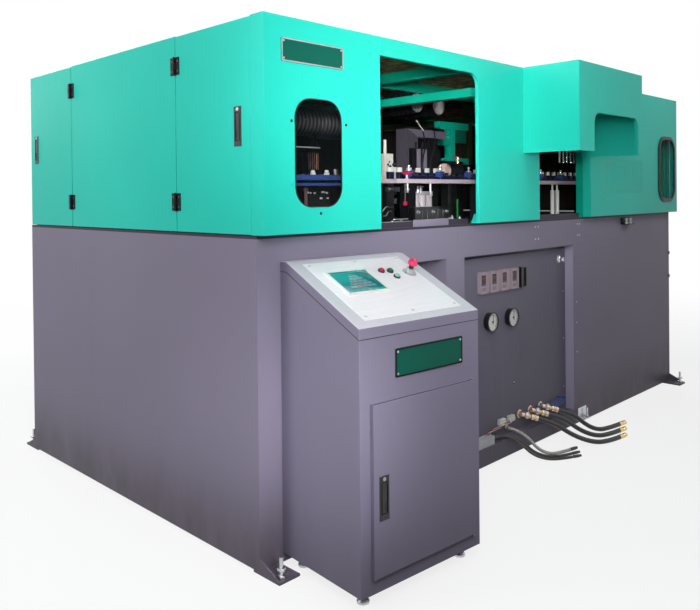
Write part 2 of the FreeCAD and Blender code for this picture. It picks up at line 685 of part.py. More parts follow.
def build_hood():
    """The projecting hood: a folded box open below and behind, with a hand notch in its front."""
    skin = s.cover_sheet
    x = (along(s.hood_left), along(s.hood_right))
    y = (proud - s.hood_reach, proud)
    z = (s.hood_bottom, top)
    shell = folded("HoodShell", x, y, z, skin, ["+y", "-z"], ["-y", "+z"])
    cap = block("HoodCap", (along(s.bridge_right) + s.seat, x[1]), (proud - skin, front), (z[1] - skin, z[1]))
    cheek = block("HoodCheek", (x[1] - skin, x[1]), (proud - skin, front), z)
    corners = rectangle((along(s.notch_left), along(s.notch_right)), (z[0] - 20, s.notch_top))
    notch = wall_shape("HoodNotch", corners, (y[0] - 5, y[0] + 15), {2: s.notch_round, 3: s.notch_round})
    node("hood", cut("Hood", join("HoodWhole", [shell, cap, cheek]), [notch]))


def build_side_covers():
    """The right end cover, the back panels and the fixed panel in the left end."""
    skin = s.cover_sheet
    z = (cover_bottom, top)
    panels = [folded("RightEndCover", (frame_right, right + s.right_overhang), (front + s.seat, back),
                     z, skin, ["-x"], ["+x"])]
    width = (frame_right - s.seam - frame_left) / s.back_panels
    for number in range(int(s.back_panels.value)):
        start = frame_left + number * width
        panels.append(folded("BackPanel", (start, start + width - s.seam), (frame_back, back), z, skin,
                             ["-y"], ["+y"]))
    panels.append(folded("MiddlePanel", (left, left + s.frame_inset),
                         (behind(s.hinge_near) + s.seam, behind(s.hinge_far) - s.seam), z, skin,
                         ["+x"], ["-x"]))
    node("side_and_back_covers", group("SideAndBackCovers", panels))


def hinge_axis_x():
    """The hinge line stands just off the end face."""
    return left - s.knuckle_radius - s.seat


def hinge_half(name, y, z, side, fixed):
    """One half of a hinge: its leaf, and its knuckles with or without the pin."""
    third = s.hinge_height / 3
    axis = (hinge_axis_x(), y)
    low = z - s.hinge_height / 2
    reach = (y + side * (s.knuckle_radius + 1), y + side * s.leaf_width)
    leaf = block(name + "_leaf", (left - s.leaf_thick, left), sorted(reach, key=float),
                 (low, low + s.hinge_height))
    spans = [(low + third, low + 2 * third)] if fixed else [
        (low, low + third - s.seat), (low + 2 * third + s.seat, low + s.hinge_height)]
    pieces = [leaf]
    for start, end in spans:
        pieces.append(rod(name + "_knuckle", (axis[0], axis[1], start), s.knuckle_radius, end - start))
        tab = sorted((y, y + side * (s.knuckle_radius + 2)), key=float)
        pieces.append(block(name + "_tab", (left - s.leaf_thick - 1, left - s.seat), tab, (start, end)))
    if fixed:
        pieces.append(rod(name + "_pin", (axis[0], axis[1], low - 2), s.hinge_pin_radius,
                          s.hinge_height + 4))
        return join(name, pieces)
    whole = join(name + "_whole", pieces)
    bore = rod(name + "_bore", (axis[0], axis[1], low - 3), s.hinge_pin_radius + s.running_gap,
               s.hinge_height + 6)
    return cut(name, whole, [bore])


def build_end_doors():
    """The two end doors, their hinges and their lever latches."""
    skin = s.cover_sheet
    z = (cover_bottom, top - s.seam)
    near = (behind(s.corner_return) + s.seam, behind(s.hinge_near) - s.seam / 2)
    far = (behind(s.hinge_far) + s.seam / 2, back - s.seam)
    fixed = []
    for name, y, line, side in (("near_door", near, behind(s.hinge_near), -1),
                                ("far_door", far, behind(s.hinge_far), 1)):
        pan = folded(name + "_pan", (left, left + s.door_depth), y, z, skin, ["+x"], ["-x"])
        leaves = [hinge_half(name + "_half", line, height, side, False)
                  for height in (s.hinge_low, s.hinge_high)]
        fixed += [hinge_half(name + "_fixed", line, height, -side, True)
                  for height in (s.hinge_low, s.hinge_high)]
        edge = y[0] if side < 0 else y[1]
        centre = edge - side * s.latch_from_edge
        hole = block(name + "_latch_hole", (left - 1, left + skin + 1),
                     (centre - s.latch_width / 2 + 4, centre + s.latch_width / 2 - 4),
                     (s.latch_at - s.latch_height / 2 + 4, s.latch_at + s.latch_height / 2 - 4))
        node(name, cut(name + "_sheet", join(name + "_welded", [pan] + leaves), [hole]))
        label = name.replace("door", "latch")
        build_latch(label, lambda u, v, w, c=centre: (left - w, c + u, s.latch_at + v), "Y")
    node("fixed_hinge_leaves", group("FixedLeaves", fixed))


def build_latch(label, where, across_axis, carrier=None):
    """A flush paddle latch: a shallow case and the lever that swings out of it.

    where turns (across, up, out of the panel) into the machine's or the console's X, Y and Z, and
    across_axis names the axis that its pin lies along.
    """
    half_w, half_h = s.latch_width / 2, s.latch_height / 2

    def piece(name, across, up, out):
        """A block in the latch's own directions."""
        low = where(across[0], up[0], out[0])
        high = where(across[1], up[1], out[1])
        bounds = [sorted(pair, key=float) for pair in zip(low, high)]
        return block(name, *bounds)

    rim = piece(label + "_rim", (-half_w, half_w), (-half_h, half_h), (s.seat, s.seat + 2.5))
    cup = piece(label + "_cup", (-half_w + 4.3, half_w - 4.3), (-half_h + 4.3, half_h - 4.3),
                (-s.latch_depth, s.seat))
    well = piece(label + "_well", (-half_w + 7, half_w - 7), (-half_h + 22, half_h - 22),
                 (-s.latch_depth + 2, s.seat + 4))
    case = node(label + "_case", cut(label + "_body", join(label + "_solid", [rim, cup]), [well]))
    half_l = s.lever_width / 2
    reach = half_h - 24
    arm = piece(label + "_arm", (-half_l, half_l), (-reach + 1, reach - 1), (-4, s.seat + 2))
    grip = piece(label + "_grip", (-half_l + 3, half_l - 3), (-reach + 8, -reach + 42), (0.5, s.seat + 3))
    pin = rod(label + "_pin", where(-half_w + 7, reach - 8, -1.5), s.lever_pin / 2, s.latch_width - 14,
              across_axis)
    lever = node(label + "_lever", join(label + "_paddle", [cut(label + "_cut", arm, [grip]), pin]))
    if carrier:
        carrier(case)
        carrier(lever)


# ---------------------------------------------------------------- control console

def console_place(obj, desk=False, x=0, y=0, z=0):
    """Sets a console piece from the console's frame, or from its sloping desk's, into the machine's."""
    turn = s.console_turn
    corner_x = along(s.console_left)
    corner_y = front - s.console_depth - s.console_seam
    text = "placement(vector({}; {}; 0); rotation(vector(0; 0; 1); 0 - {}))".format(
        corner_x.text, corner_y.text, turn.text)
    if desk:
        text += " * placement(vector(0; 0; {}); rotation(vector(1; 0; 0); {}))".format(
            (s.console_front_top + s.desk_lip).text, desk_tilt().text)
    text += " * placement(vector({}; {}; {}); rotation(vector(0; 0; 1); 0))".format(
        size(x).text, size(y).text, size(z).text)
    obj.setExpression("Placement", text)
    return obj


def desk_tilt():
    """The desk's slope."""
    return slope_angle(s.console_back_top - s.console_front_top, s.console_depth - s.console_flat)


def desk_length():
    """The desk's length up the slope."""
    rise = s.console_back_top - s.console_front_top
    run = s.console_depth - s.console_flat
    root = math.hypot(float(rise), float(run))
    return Size("sqrt(({}) ^ 2 + ({}) ^ 2)".format(rise.text, run.text), root)


def side_profile(name, drop, inset, floor, width, fold=None):
    """The console's side outline, thickened across its width.

    drop lowers the outline below the desk's underside, and inset draws it in at the front and back.
    fold rounds every edge above the floor line.
    """
    body = new_body(name)
    sketch = new_sketch(body, "YZ_Plane")
    deep = s.console_depth
    polygon(sketch, [(inset, floor), (deep - inset, floor), (deep - inset, s.console_back_top - drop),
                     (deep - s.console_flat, s.console_back_top - drop), (inset, s.console_front_top - drop)])
    feature = pad(body, sketch, width)
    if fold is not None:
        low = float(floor) + 1
        round_edges(body, feature, fold, lambda a, b: a.z > low or b.z > low)
    return body


def console_feet():
    """The console's four levelling feet."""
    feet = []
    for x in (60, s.console_width - 60):
        for y in (60, s.console_depth - 60):
            feet.append(turned("ConsoleFoot", [
                (0, 0), (24, 0), (24, 8), (18, 14), (8, 16), (8, s.console_lift), (0, s.console_lift)],
                (x, y, 0)))
    return console_place(group("ConsoleFeet", feet))


BUTTONS = {"red_button": (402, 350), "green_button": (446, 342), "start_button": (446, 296), "stop": (540, 318)}


def button_bores(name, depth):
    """The holes that the push buttons and the stop pass through, in the desk's frame."""
    return [rod(name, (x, y, -depth), s.button_radius - 3 + s.running_gap * 4, depth + 10)
            for x, y in BUTTONS.values()]


def desk_bores():
    """The same holes through the lid, set in the console's own frame."""
    bores = group("DeskBores", button_bores("LidBore", 12))
    text = "placement(vector(0; 0; {}); rotation(vector(1; 0; 0); {}))".format(
        (s.console_front_top + s.desk_lip).text, desk_tilt().text)
    bores.setExpression("Placement", text)
    return bores


def build_console():
    """The console's cabinet, desk, door, plate and controls."""
    skin = s.console_sheet
    wide, deep = s.console_width, s.console_depth
    shell = side_profile("ConsoleOuter", 0, size(0), s.console_lift, wide, s.fold)
    room = place(side_profile("ConsoleRoom", -5, skin, s.console_lift + skin, wide - 2 * skin), skin, 0, 0)
    door_x = (s.door_side, s.door_right_edge)
    door_z = (s.console_lift + s.door_foot, s.console_door_top)
    gap = s.door_gap
    mouth = block("ConsoleMouth", (door_x[0] + 14, door_x[1] - 14), (-1, skin + 1),
                  (door_z[0] + 14, door_z[1] - 14))
    hollow = cut("ConsoleHollow", shell, [room, mouth])
    brackets, bores = [], []
    pin = (s.door_right_edge - 3.5, -s.door_gap - s.door_fold + 3.5)
    for low in (door_z[0] - gap - 6, door_z[1] + gap):
        brackets.append(block("HingeBracket", (pin[0] - 8, pin[0] + 7), (pin[1] - 4, skin), (low, low + 6)))
        bores.append(rod("BracketBore", (pin[0], pin[1], low - 1), 2.5 + s.running_gap, 8))
    whole = join("ConsoleWithBrackets", [hollow] + brackets)
    node("console_cabinet", console_place(cut("ConsoleCabinet", whole, bores)))

    # The desk lid is a folded tray that repeats the cabinet's slope.
    lid = side_profile("LidOuter", -s.desk_lip, size(0), s.console_front_top - 30, wide, s.fold)
    below = place(side_profile("LidBelow", size(-0.3), size(0) - 2, s.console_front_top - 60, wide + 4), -2, 0, 0)
    lid_solid = cut("LidSolid", lid, [below])
    hollow = place(side_profile("LidHollow", -s.desk_lip + skin, skin, s.console_front_top - 60,
                                wide - 2 * skin), skin, 0, 0)
    node("console_desk", console_place(cut("ConsoleDesk", lid_solid, [hollow, desk_bores()])))

    # Door: a tray hinged on its right edge, in front of the cabinet's face.
    face = -gap - s.door_fold
    panel = folded("ConsoleDoorPan", door_x, (face, -gap), door_z, skin, ["+y"], ["-y"])
    pins = [rod("DoorPin", (pin[0], pin[1], low), 2.5, 8) for low in (door_z[0] - gap - 6, door_z[1] - skin)]
    panel = join("ConsoleDoorPinned", [panel] + pins)
    handle_x = door_x[0] + s.handle_from_edge - s.latch_width / 2
    hole = block("ConsoleLatchHole", (handle_x - s.latch_width / 2 + 4, handle_x + s.latch_width / 2 - 4),
                 (face - 1, face + skin + 1),
                 (s.console_handle_at - s.latch_height / 2 + 4, s.console_handle_at + s.latch_height / 2 - 4))
    node("console_door", console_place(cut("ConsoleDoor", panel, [hole])))
    build_latch("console_latch", lambda u, v, w: (handle_x + u, face - w, s.console_handle_at + v),
                "X", console_place)

    build_desk_top()


def desk_piece(name, x, y, z):
    """A block in the desk's own frame: across, up the slope and out of it."""
    return block(name, x, y, z)


def build_desk_top():
    """The brushed plate, the screen, the push buttons and the emergency stop."""
    wide = s.console_width
    slope = desk_length()
    lift = s.desk_plate_thick
    plate = desk_piece("DeskPlate", (s.desk_plate_inset, wide - s.desk_plate_inset),
                       (s.desk_plate_front, slope - s.desk_plate_back), (0, lift))
    drilled = cut("DeskPlateDrilled", plate, button_bores("PlateBore", 3))
    node("desk_plate", console_place(drilled, desk=True))
    bezel = tray("ScreenBezel", (s.screen_left, s.screen_left + s.screen_width),
                 (s.screen_front, s.screen_front + s.screen_depth), (lift, lift + s.screen_thick),
                 s.screen_thick - 3, "+z")
    node("screen_unit", console_place(bezel, desk=True))
    collars = []
    for name, (x, y) in BUTTONS.items():
        grow = 1.35 if name == "stop" else 1
        outer = s.button_collar * grow
        inner = (s.stop_stem if name == "stop" else s.button_radius) + 0.4
        height = 22 if name == "stop" else 5
        collars.append(turned(name + "_collar", [
            (inner, lift), (outer, lift), (outer * 0.86, lift + height), (inner, lift + height)], (x, y, 0)))
        if name == "stop":
            continue
        cap = turned(name + "_cap", [
            (0, lift + s.button_travel + 1), (s.button_radius, lift + s.button_travel + 1),
            (s.button_radius, lift + 11), (s.button_radius - 2, lift + 12.5), (0, lift + 12.5)], (x, y, 0))
        stem = rod(name + "_stem", (x, y, -14), s.button_radius - 3, lift + s.button_travel + 15)
        node(name, console_place(join(name + "_whole", [cap, stem]), desk=True))
    node("button_collars", console_place(group("Collars", collars), desk=True))
    x, y = BUTTONS["stop"]
    base = lift + 22
    stem = turned("StopStem", [
        (0, -14), (s.button_radius - 3, -14), (s.button_radius - 3, lift + s.stop_travel + 1),
        (s.stop_stem, lift + s.stop_travel + 1), (s.stop_stem, base + 16), (0, base + 16)])
    node("stop_stem", console_place(stem, desk=True, x=x, y=y))
    head = turned("StopHead", [
        (0, base + 16.3), (s.stop_stem + 3, base + 16.3), (s.stop_radius, base + 20),
        (s.stop_radius, base + 28), (s.stop_radius * 0.8, base + 16 + s.stop_height),
        (0, base + 17 + s.stop_height)])
    node("stop_head", console_place(head, desk=True, x=x, y=y))


# ---------------------------------------------------------------- service panel

def build_service_panel():
    """Gauges, instrument modules, the door knob, the cable trunking and the hose fittings."""
    panel = behind(s.recess_depth)
    toward_front = Rotation(Vector(1, 0, 0), 90)
    cases, needles = [], []
    for at in (s.gauge_one, s.gauge_two):
        r = s.gauge_radius
        cases.append(turned("GaugeCase", [
            (0, 0), (r - 12, -14), (r - 12, 0), (r - 4, 0), (r - 4, s.gauge_depth - 8), (r, s.gauge_depth - 6),
            (r, s.gauge_depth), (r - 6, s.gauge_depth), (r - 6, s.gauge_depth - 8),
            (5, s.gauge_depth - 8), (5, s.gauge_depth - 4), (0, s.gauge_depth - 4)][1:] + [(0, -14)],
            (along(at), panel, s.gauge_height), toward_front))
    node("gauge_cases", group("GaugeCases", cases))
    face = panel - s.gauge_depth + 4
    for label, at in (("left_needle", s.gauge_one), ("right_needle", s.gauge_two)):
        hub = rod(label + "_hub", (along(at), face - 1.6, s.gauge_height), 6, 1.2, "Y")
        arm = wall_shape(label + "_arm", rectangle((along(at) - 1.6, along(at) + 1.6),
                                                   (s.gauge_height - 14, s.gauge_height + s.gauge_radius - 14)),
                         (face - 1.6, face - 0.4))
        node(label, join(label + "_whole", [hub, arm]))

    modules = []
    for number in range(5):
        narrow = 18 if number == 4 else 0
        start = along(s.module_first) + number * s.module_pitch
        modules.append(tray("Module", (start, start + s.module_width - narrow), (panel - s.module_proud, panel),
                            (s.module_bottom, s.module_bottom + s.module_height), size(6), "-y"))
    node("instrument_modules", group("Modules", modules))

    knob = turned("Knob", [
        (0, -12), (5.9, -12), (5.9, 0.3), (s.knob_radius, 0.3), (s.knob_radius, 8), (s.knob_radius * 0.7, 12),
        (s.knob_radius * 0.7, 26), (0, 26)], (along(s.knob_at), panel, s.knob_height), toward_front)
    wing = block("KnobWing", (along(s.knob_at) - 3, along(s.knob_at) + 3), (panel - 34, panel - 24),
                 (s.knob_height - s.knob_radius + 2, s.knob_height + s.knob_radius - 2))
    node("panel_knob", join("PanelKnob", [knob, wing]))

    sill = s.sill_top
    duct = tray("Trunking", (along(s.recess_left) + s.panel_sheet, along(s.trunking_end)),
                (behind(8), behind(54)), (sill, sill + 46), size(2.5), "-x")
    node("cable_trunking", duct)

    fittings = []
    lean = Rotation(Vector(0, 0, 1), Vector(*FITTING_WAY))
    for number in range(3):
        at = along(s.fitting_first) + number * s.fitting_pitch
        r = s.hose_radius
        reach = s.fitting_reach
        flange = turned("FittingFlange", [(0, 0), (r + 12, 0), (r + 12, 6), (r + 4, 9), (r + 4, 16), (0, 16)],
                        (at, panel, s.fitting_height), toward_front)
        barrel = turned("FittingBarrel", [
            (0, 4), (r + 1, 4), (r + 1, 26), (r + 6, 28), (r + 6, 50), (r - 1, 52), (r - 1, 66),
            (r + 3, 68), (r + 3, reach), (0, reach)], (at, panel - 10, s.fitting_height), lean)
        fittings.append(join("HoseFitting", [flange, barrel]))
    gland = turned("CableGland", [
        (s.sheath_radius + 0.4, 0), (s.sheath_radius + 9, 0), (s.sheath_radius + 9, 8),
        (s.sheath_radius + 5, 10), (s.sheath_radius + 3, 20), (s.sheath_radius + 0.4, 20)],
        (along(SHEATH_ROUTE[0][0]), panel, SHEATH_ROUTE[0][2]), toward_front)
    node("hose_fittings", group("HoseFittings", fittings + [gland]))


# ---------------------------------------------------------------- hoses and cables

# Each route is a list of points from the machine's left end, its front and the floor. The hoses' points
# run from each hose's own fitting, and the hoses further left run further forward.
FITTING_WAY = (0.75, -0.6, -0.278)
HOSE_ROUTE = ((83, -18, 159.4), (158, -78, 131.6), (232, -132, 54), (308, -172, 16), (408, -200, 14),
              (506, -212, 14))
HOSE_SPREAD = (0, 0, 18, 45, 55, 55)
CABLE_ROUTE = ((1655, 24, 130), (1714, 24, 130), (1770, -12, 127), (1808, -72, 80), (1836, -124, 29),
               (1878, -190, 9), (1942, -244, 9), (2006, -271, 9))
SECOND_CABLE_ROUTE = ((1655, 42, 130), (1728, 42, 130), (1794, 2, 128), (1838, -60, 84), (1868, -112, 31),
                      (1914, -176, 9), (1982, -222, 9), (2052, -243, 9))
SHEATH_ROUTE = ((1846, 57.5, 142), (1846, -6, 142), (1876, -70, 104), (1908, -112, 40), (1958, -160, 10),
                (2030, -192, 10), (2102, -206, 10))


def hose_route(number):
    """One hose's points, from the machine's left end, its front and the floor."""
    start = SIZES["fitting_first"] + number * SIZES["fitting_pitch"]
    return [(start + x, y - (2 - number) * spread, z) for (x, y, z), spread in zip(HOSE_ROUTE, HOSE_SPREAD)]


def rounded_path(points):
    """Straight runs joined by tangent arcs, with the arcs' radii."""
    edges, radii = [], []
    start = points[0]
    for before, corner, after in zip(points, points[1:], points[2:]):
        run_in, run_out = corner - before, after - corner
        turn = run_in.getAngle(run_out)
        shorter = min(run_in.Length, run_out.Length)
        setback = 0.45 * shorter
        radii.append(setback / math.tan(turn / 2))
        way_in, way_out = run_in.normalize(), run_out.normalize()
        enter = corner - way_in * setback
        leave = corner + way_out * setback
        bisector = (way_out - way_in).normalize()
        depth = radii[-1] / math.cos(turn / 2) - radii[-1]
        middle = corner + bisector * depth
        edges.append(Part.LineSegment(start, enter).toShape())
        edges.append(Part.Arc(enter, middle, leave).toShape())
        start = leave
    edges.append(Part.LineSegment(start, points[-1]).toShape())
    return Part.Wire(edges), radii


def cord(name, route, radius):
    """A hose or cable along its route, as one tube, with its volume compared."""
    points = [Vector(float(left) + x, float(front) + y, z) for x, y, z in route]
    path, radii = rounded_path(points)
    way = (points[1] - points[0]).normalize()
    circle = Part.makeCircle(float(radius), points[0], way)
    tube = path.makePipeShell([Part.Wire([circle])], True, True)
    tube = Part.Solid(tube) if tube.ShapeType == "Shell" else tube
    ideal = math.pi * float(radius) ** 2 * path.Length
    print("{}: length {:.0f}, least radius {:.0f}, volume ratio {:.4f}, lowest {:.2f}".format(
        name, path.Length, min(radii), tube.Volume / ideal,
        min(point.z for point in tube.tessellate(0.2)[0])))
    feature = doc.addObject("Part::Feature", name)
    feature.Shape = tube
    return node(name, feature), points


def end_piece(name, points, profile):
    """A turned coupling or plug, set on the end of a cord."""
    way = (points[-1] - points[-2]).normalize()
    rotation = Rotation(Vector(0, 0, 1), way)
    return turned(name, profile, tuple(points[-1]), rotation)


def build_cords():
    """The supply hoses and control cables that leave the service panel, with their ends."""
    couplings = []
    r = s.hose_radius
    for number, label in enumerate(("supply_hose_left", "supply_hose_middle", "supply_hose_right")):
        _, points = cord(label, hose_route(number), r)
        couplings.append(end_piece("Coupling", points, [
            (0, 0), (r + 0.4, 0), (r + 0.4, 30), (r - 3, 32), (r - 3, 44), (r - 0.5, 46), (r - 0.5, 70),
            (r - 5, 72), (0, 72)]))
    plugs = []
    c = s.cable_radius
    for label, route, radius in (("control_cable_front", CABLE_ROUTE, c),
                                 ("control_cable_rear", SECOND_CABLE_ROUTE, c),
                                 ("sheathed_cable", SHEATH_ROUTE, s.sheath_radius)):
        _, points = cord(label, route, radius)
        plugs.append(end_piece("Plug", points, [
            (0, 0), (radius - 2, 0), (radius + 0.6, 10), (radius + 0.6, 44), (radius - 1, 46),
            (radius - 1, 60), (0, 60)]))
    node("cord_ends", group("CordEnds", couplings + plugs))


# ---------------------------------------------------------------- machinery on the deck

def build_rail_and_train():
    """The transfer rail, and the blocks and mandrels that step along it."""
    y = (behind(s.rail_front), behind(s.rail_front) + s.rail_depth)
    z = (s.rail_top - s.rail_thick, s.rail_top)
    rail_length = s.base_length - s.rail_end_gap - s.rail_left
    pieces = [block("RailPlate", (along(s.rail_left), right - s.rail_end_gap), y, z)]
    posts = 5
    for number in range(posts):
        x = along(s.rail_left) + 120 + number * (rail_length - 300) / (posts - 1)
        pieces.append(block("RailPost", (x, x + s.post_size), (y[0] + 25, y[0] + 25 + s.post_size),
                            (deck, z[0])))
    node("transfer_rail", join("TransferRail", pieces))

    first = along(s.rail_left) + s.train_first - s.block_width / 2
    bar = block("TrainBar", (first, first + (s.train_count - 1) * s.train_pitch + s.block_width),
                (y[0] + 20, y[0] + 50), (s.rail_top + s.seat, s.rail_top + 14))
    blocks, mandrels = [bar], []
    for number in range(int(s.train_count.value)):
        x = first + number * s.train_pitch
        blocks.append(block("TrainBlock", (x, x + s.block_width), (y[0] + 10, y[0] + 10 + s.block_depth),
                            (s.rail_top + s.seat, s.rail_top + s.block_height)))
        r, high = s.mandrel_radius, s.mandrel_height
        mandrels.append(turned("Mandrel", [
            (0, 0), (r, 0), (r, high * 0.26), (r * 0.6, high * 0.35), (r * 0.6, high * 0.65),
            (r * 0.9, high * 0.74), (r * 0.9, high), (0, high)],
            (x + s.block_width / 2, y[0] + 10 + s.block_depth / 2, s.rail_top + s.block_height)))
    node("mandrel_blocks", join("MandrelBlocks", blocks))
    node("mandrels", group("Mandrels", mandrels))


def build_chain_wheel():
    """The wheel that turns the train round the machine's left end, and its shaft."""
    low = s.wheel_low
    r, hub = s.wheel_radius, s.wheel_shaft
    disc = s.wheel_disc
    upper = low + disc / 2 + s.wheel_gap
    wheel = turned("WheelDiscs", [
        (hub + s.running_gap, low), (r - 6, low), (r - 6, low + disc / 2), (hub + 40, low + disc / 2),
        (hub + 40, upper), (r, upper), (r, upper + disc), (hub + 40, upper + disc), (hub + 40, upper + disc + 40),
        (hub + s.running_gap, upper + disc + 40)], (along(s.wheel_at), behind(s.wheel_back), 0))
    count = int(s.wheel_lugs.value)
    lugs = []
    for number in range(count):
        angle = 2 * math.pi * number / count
        x = along(s.wheel_at) + math.cos(angle) * (r - 20)
        y = behind(s.wheel_back) + math.sin(angle) * (r - 20)
        lugs.append(rod("WheelLug", (x, y, upper + disc - 1), s.lug_radius, s.lug_height))
    node("chain_wheel", join("ChainWheel", [wheel] + lugs))


def build_gantry():
    """The stretch gantry, its sliding head, the two lift motors and the service unit."""
    x0 = along(s.gantry_left)
    y = (behind(s.gantry_back), behind(s.gantry_back) + s.column_width)
    x1 = x0 + s.gantry_span
    columns = [block("Column", (x, x + s.column_width), y, (deck, s.gantry_top - s.gantry_beam))
               for x in (x0, x1 - s.column_inset - s.column_width)]
    beam = block("GantryBeam", (x0, x1), (y[0], y[1]), (s.gantry_top - s.gantry_beam, s.gantry_top))
    shelf = block("GantryShelf", (x0, x1), (y[0], y[1]), (deck + 250, deck + 280))
    node("stretch_gantry", join("StretchGantry", columns + [beam, shelf]))
    plate = block("HeadPlate", (x0 + 8, x1 - s.column_inset - 8), (y[0] - s.seat - 26, y[0] - s.seat),
                  (s.gantry_top - 250, s.gantry_top - 120))
    rods = [rod("StretchRod", (x0 + 60 + number * s.rod_pitch, y[0] - s.seat - 13, s.gantry_top - 300), 7, 220)
            for number in range(4)]
    node("stretch_head", join("StretchHead", [plate] + rods))

    motors = []
    for at in (s.motor_one, s.motor_two):
        r = s.motor_radius
        body = turned("MotorBody", [
            (0, 0), (r * 0.5, 0), (r * 0.62, 5), (r, 5), (r, 34), (r * 0.86, 40), (r * 0.86, s.motor_length),
            (0, s.motor_length)], (along(at), behind(s.motor_front), s.motor_height), TO_Y)
        hanger = block("MotorHanger", (along(at) - 40, along(at) + 40),
                       (behind(s.motor_front + 120) + 4, behind(s.motor_front + 120) + s.beam - 4),
                       (s.motor_height + r * 0.5, top - s.beam))
        motors.append(join("Motor", [body, hanger]))
    node("lift_motors", group("LiftMotors", motors))

    pieces = [block("ServiceBase", (along(1430), along(1620)), (behind(400), behind(440)), (deck, deck + 60)),
              block("ServiceBack", (along(1430), along(1620)), (behind(430), behind(440)),
                    (deck + 60, deck + 170)),
              block("ServiceHead", (along(1430), along(1620)), (behind(398), behind(430)),
                    (deck + 150, deck + 176))]
    for number in range(3):
        x = along(1466) + number * 58
        pieces.append(rod("Bowl", (x, behind(404), deck + 150 - s.bowl_height), s.bowl_radius, s.bowl_height + 2))
    body = block("ValveBody", (along(1352), along(1408)), (behind(342), behind(378)),
                 (s.rail_top - 8, s.rail_top + 46))
    stand = block("ValveStand", (along(1380), along(1400)), (behind(350), behind(370)), (deck, s.rail_top - 8))
    valve = join("ValveOnStand", [body, stand])
    units = [join("ServiceUnit", pieces), valve, build_casting(), build_drive(), build_oven(), build_grippers()]
    for x, y, radius, height in ((1834, 404, 26, 166), (2600, 172, 13, 215), (2662, 172, 13, 215)):
        units.append(turned("AirCylinder", [
            (0, deck), (radius * 1.3, deck), (radius * 1.3, deck + 14), (radius, deck + 16),
            (radius, deck + height - 40), (radius * 0.45, deck + height - 38), (radius * 0.45, deck + height),
            (0, deck + height)], (along(x), behind(y), 0)))
    node("process_units", group("ProcessUnits", units))


def build_casting():
    """The transfer arm's casting beside the rail, on its stand."""
    y = (behind(385), behind(430))
    return join("TransferCasting", [
        block("CastingStand", (along(1200), along(1262)), y, (deck, 1575)),
        block("CastingBody", (along(1186), along(1286)), y, (1560, 1640)),
        block("CastingHead", (along(1196), along(1264)), (y[0] + 6, y[1] - 6), (1638, 1712)),
        rod("CastingSpindle", (along(1216), behind(408), 1700), 9, 88),
        rod("CastingPivot", (along(1236), y[0] - 16, 1604), 20, 70, "Y")])


def build_drive():
    """The servo drive that stands behind the rail, lying along X."""
    centre = (along(1690), behind(378), s.rail_top + 56)
    body = turned("DriveBody", [
        (0, 0), (16, 0), (16, 8), (44, 8), (44, 26), (38, 30), (38, 150), (0, 150)], centre, TO_X)
    foot = block("DriveFoot", (along(1708), along(1790)), (behind(352), behind(404)),
                 (deck, s.rail_top + 24))
    return join("ServoDrive", [body, foot])


def build_oven():
    """One bank of the heating oven behind the wheel: two side plates, a reflector and its lamps."""
    x = (along(330), along(980))
    y = behind(1230)
    pieces = [block("OvenFoot", x, (y, y + 130), (deck, deck + 40)),
              block("OvenBack", x, (y + 118, y + 130), (deck + 40, deck + 420)),
              block("OvenTop", x, (y, y + 130), (deck + 420, deck + 440))]
    for end in (x[0], x[1] - 12):
        pieces.append(block("OvenCheek", (end, end + 12), (y, y + 130), (deck + 40, deck + 420)))
    for number in range(6):
        pieces.append(rod("OvenLamp", (x[0] + 6, y + 100, deck + 80 + number * 60), 9, x[1] - x[0] - 12, "X"))
    return join("HeatingOven", pieces)


def build_grippers():
    """The take-out grippers over the outlet, on an arm from the frame's front post."""
    z = (1772, 1802)
    arm = block("GripperArm", (along(s.portal_two_at), along(s.portal_two_at) + 40),
                (front + s.tube, behind(225)), z)
    bar = block("GripperBar", (along(s.portal_two_at), along(s.portal_two_at) + 300),
                (behind(190), behind(225)), z)
    fingers = [rod("GripperFinger", (along(s.portal_two_at) + 75 + number * 50, behind(208), 1694), 8, 80)
               for number in range(5)]
    return join("Grippers", [arm, bar] + fingers)


def build_clamp():
    """The mould clamp: a bed with two guide bars, and two platens that close on the line."""
    x = (along(s.mould_left), along(s.mould_left) + s.mould_width)
    middle = behind(s.mould_back)
    z = (s.mould_bottom, s.mould_bottom + s.mould_height)
    half = s.mould_travel + s.platen_thick + 90
    bed = block("ClampBed", (x[0] - 20, x[1] + 20), (middle - half - 70, middle + half + 70), (deck, deck + 50))
    ends = [block("ClampEnd", (x[0] - 20, x[1] + 20), (middle + side - 25, middle + side + 25),
                  (deck + 50, z[1])) for side in (-(half + 45), half + 45)]
    bars = [rod("GuideBar", (bx, middle - half - 45, s.mould_bottom + 60), 16, 2 * half + 90, "Y")
            for bx in (x[0] + 45, x[1] - 45)]
    node("clamp_bed", join("ClampBedWhole", [bed] + ends + bars))
    for label, side in (("front_platen", -1), ("rear_platen", 1)):
        inner = middle + side * (s.mould_travel + 1)
        outer = inner + side * s.platen_thick
        plate = block(label + "_plate", x, sorted((outer, outer + side * 40), key=float), z)
        mould = block(label + "_mould", (x[0] + 85, x[1] - 85), sorted((inner, outer), key=float),
                      (z[0] + 85, z[1] - 10))
        bores = [rod(label + "_bore", (bx, middle - half - 45, s.mould_bottom + 60),
                     16 + s.running_gap, 2 * half + 90, "Y") for bx in (x[0] + 45, x[1] - 45)]
        node(label, cut(label + "_bored", join(label + "_solid", [plate, mould]), bores))


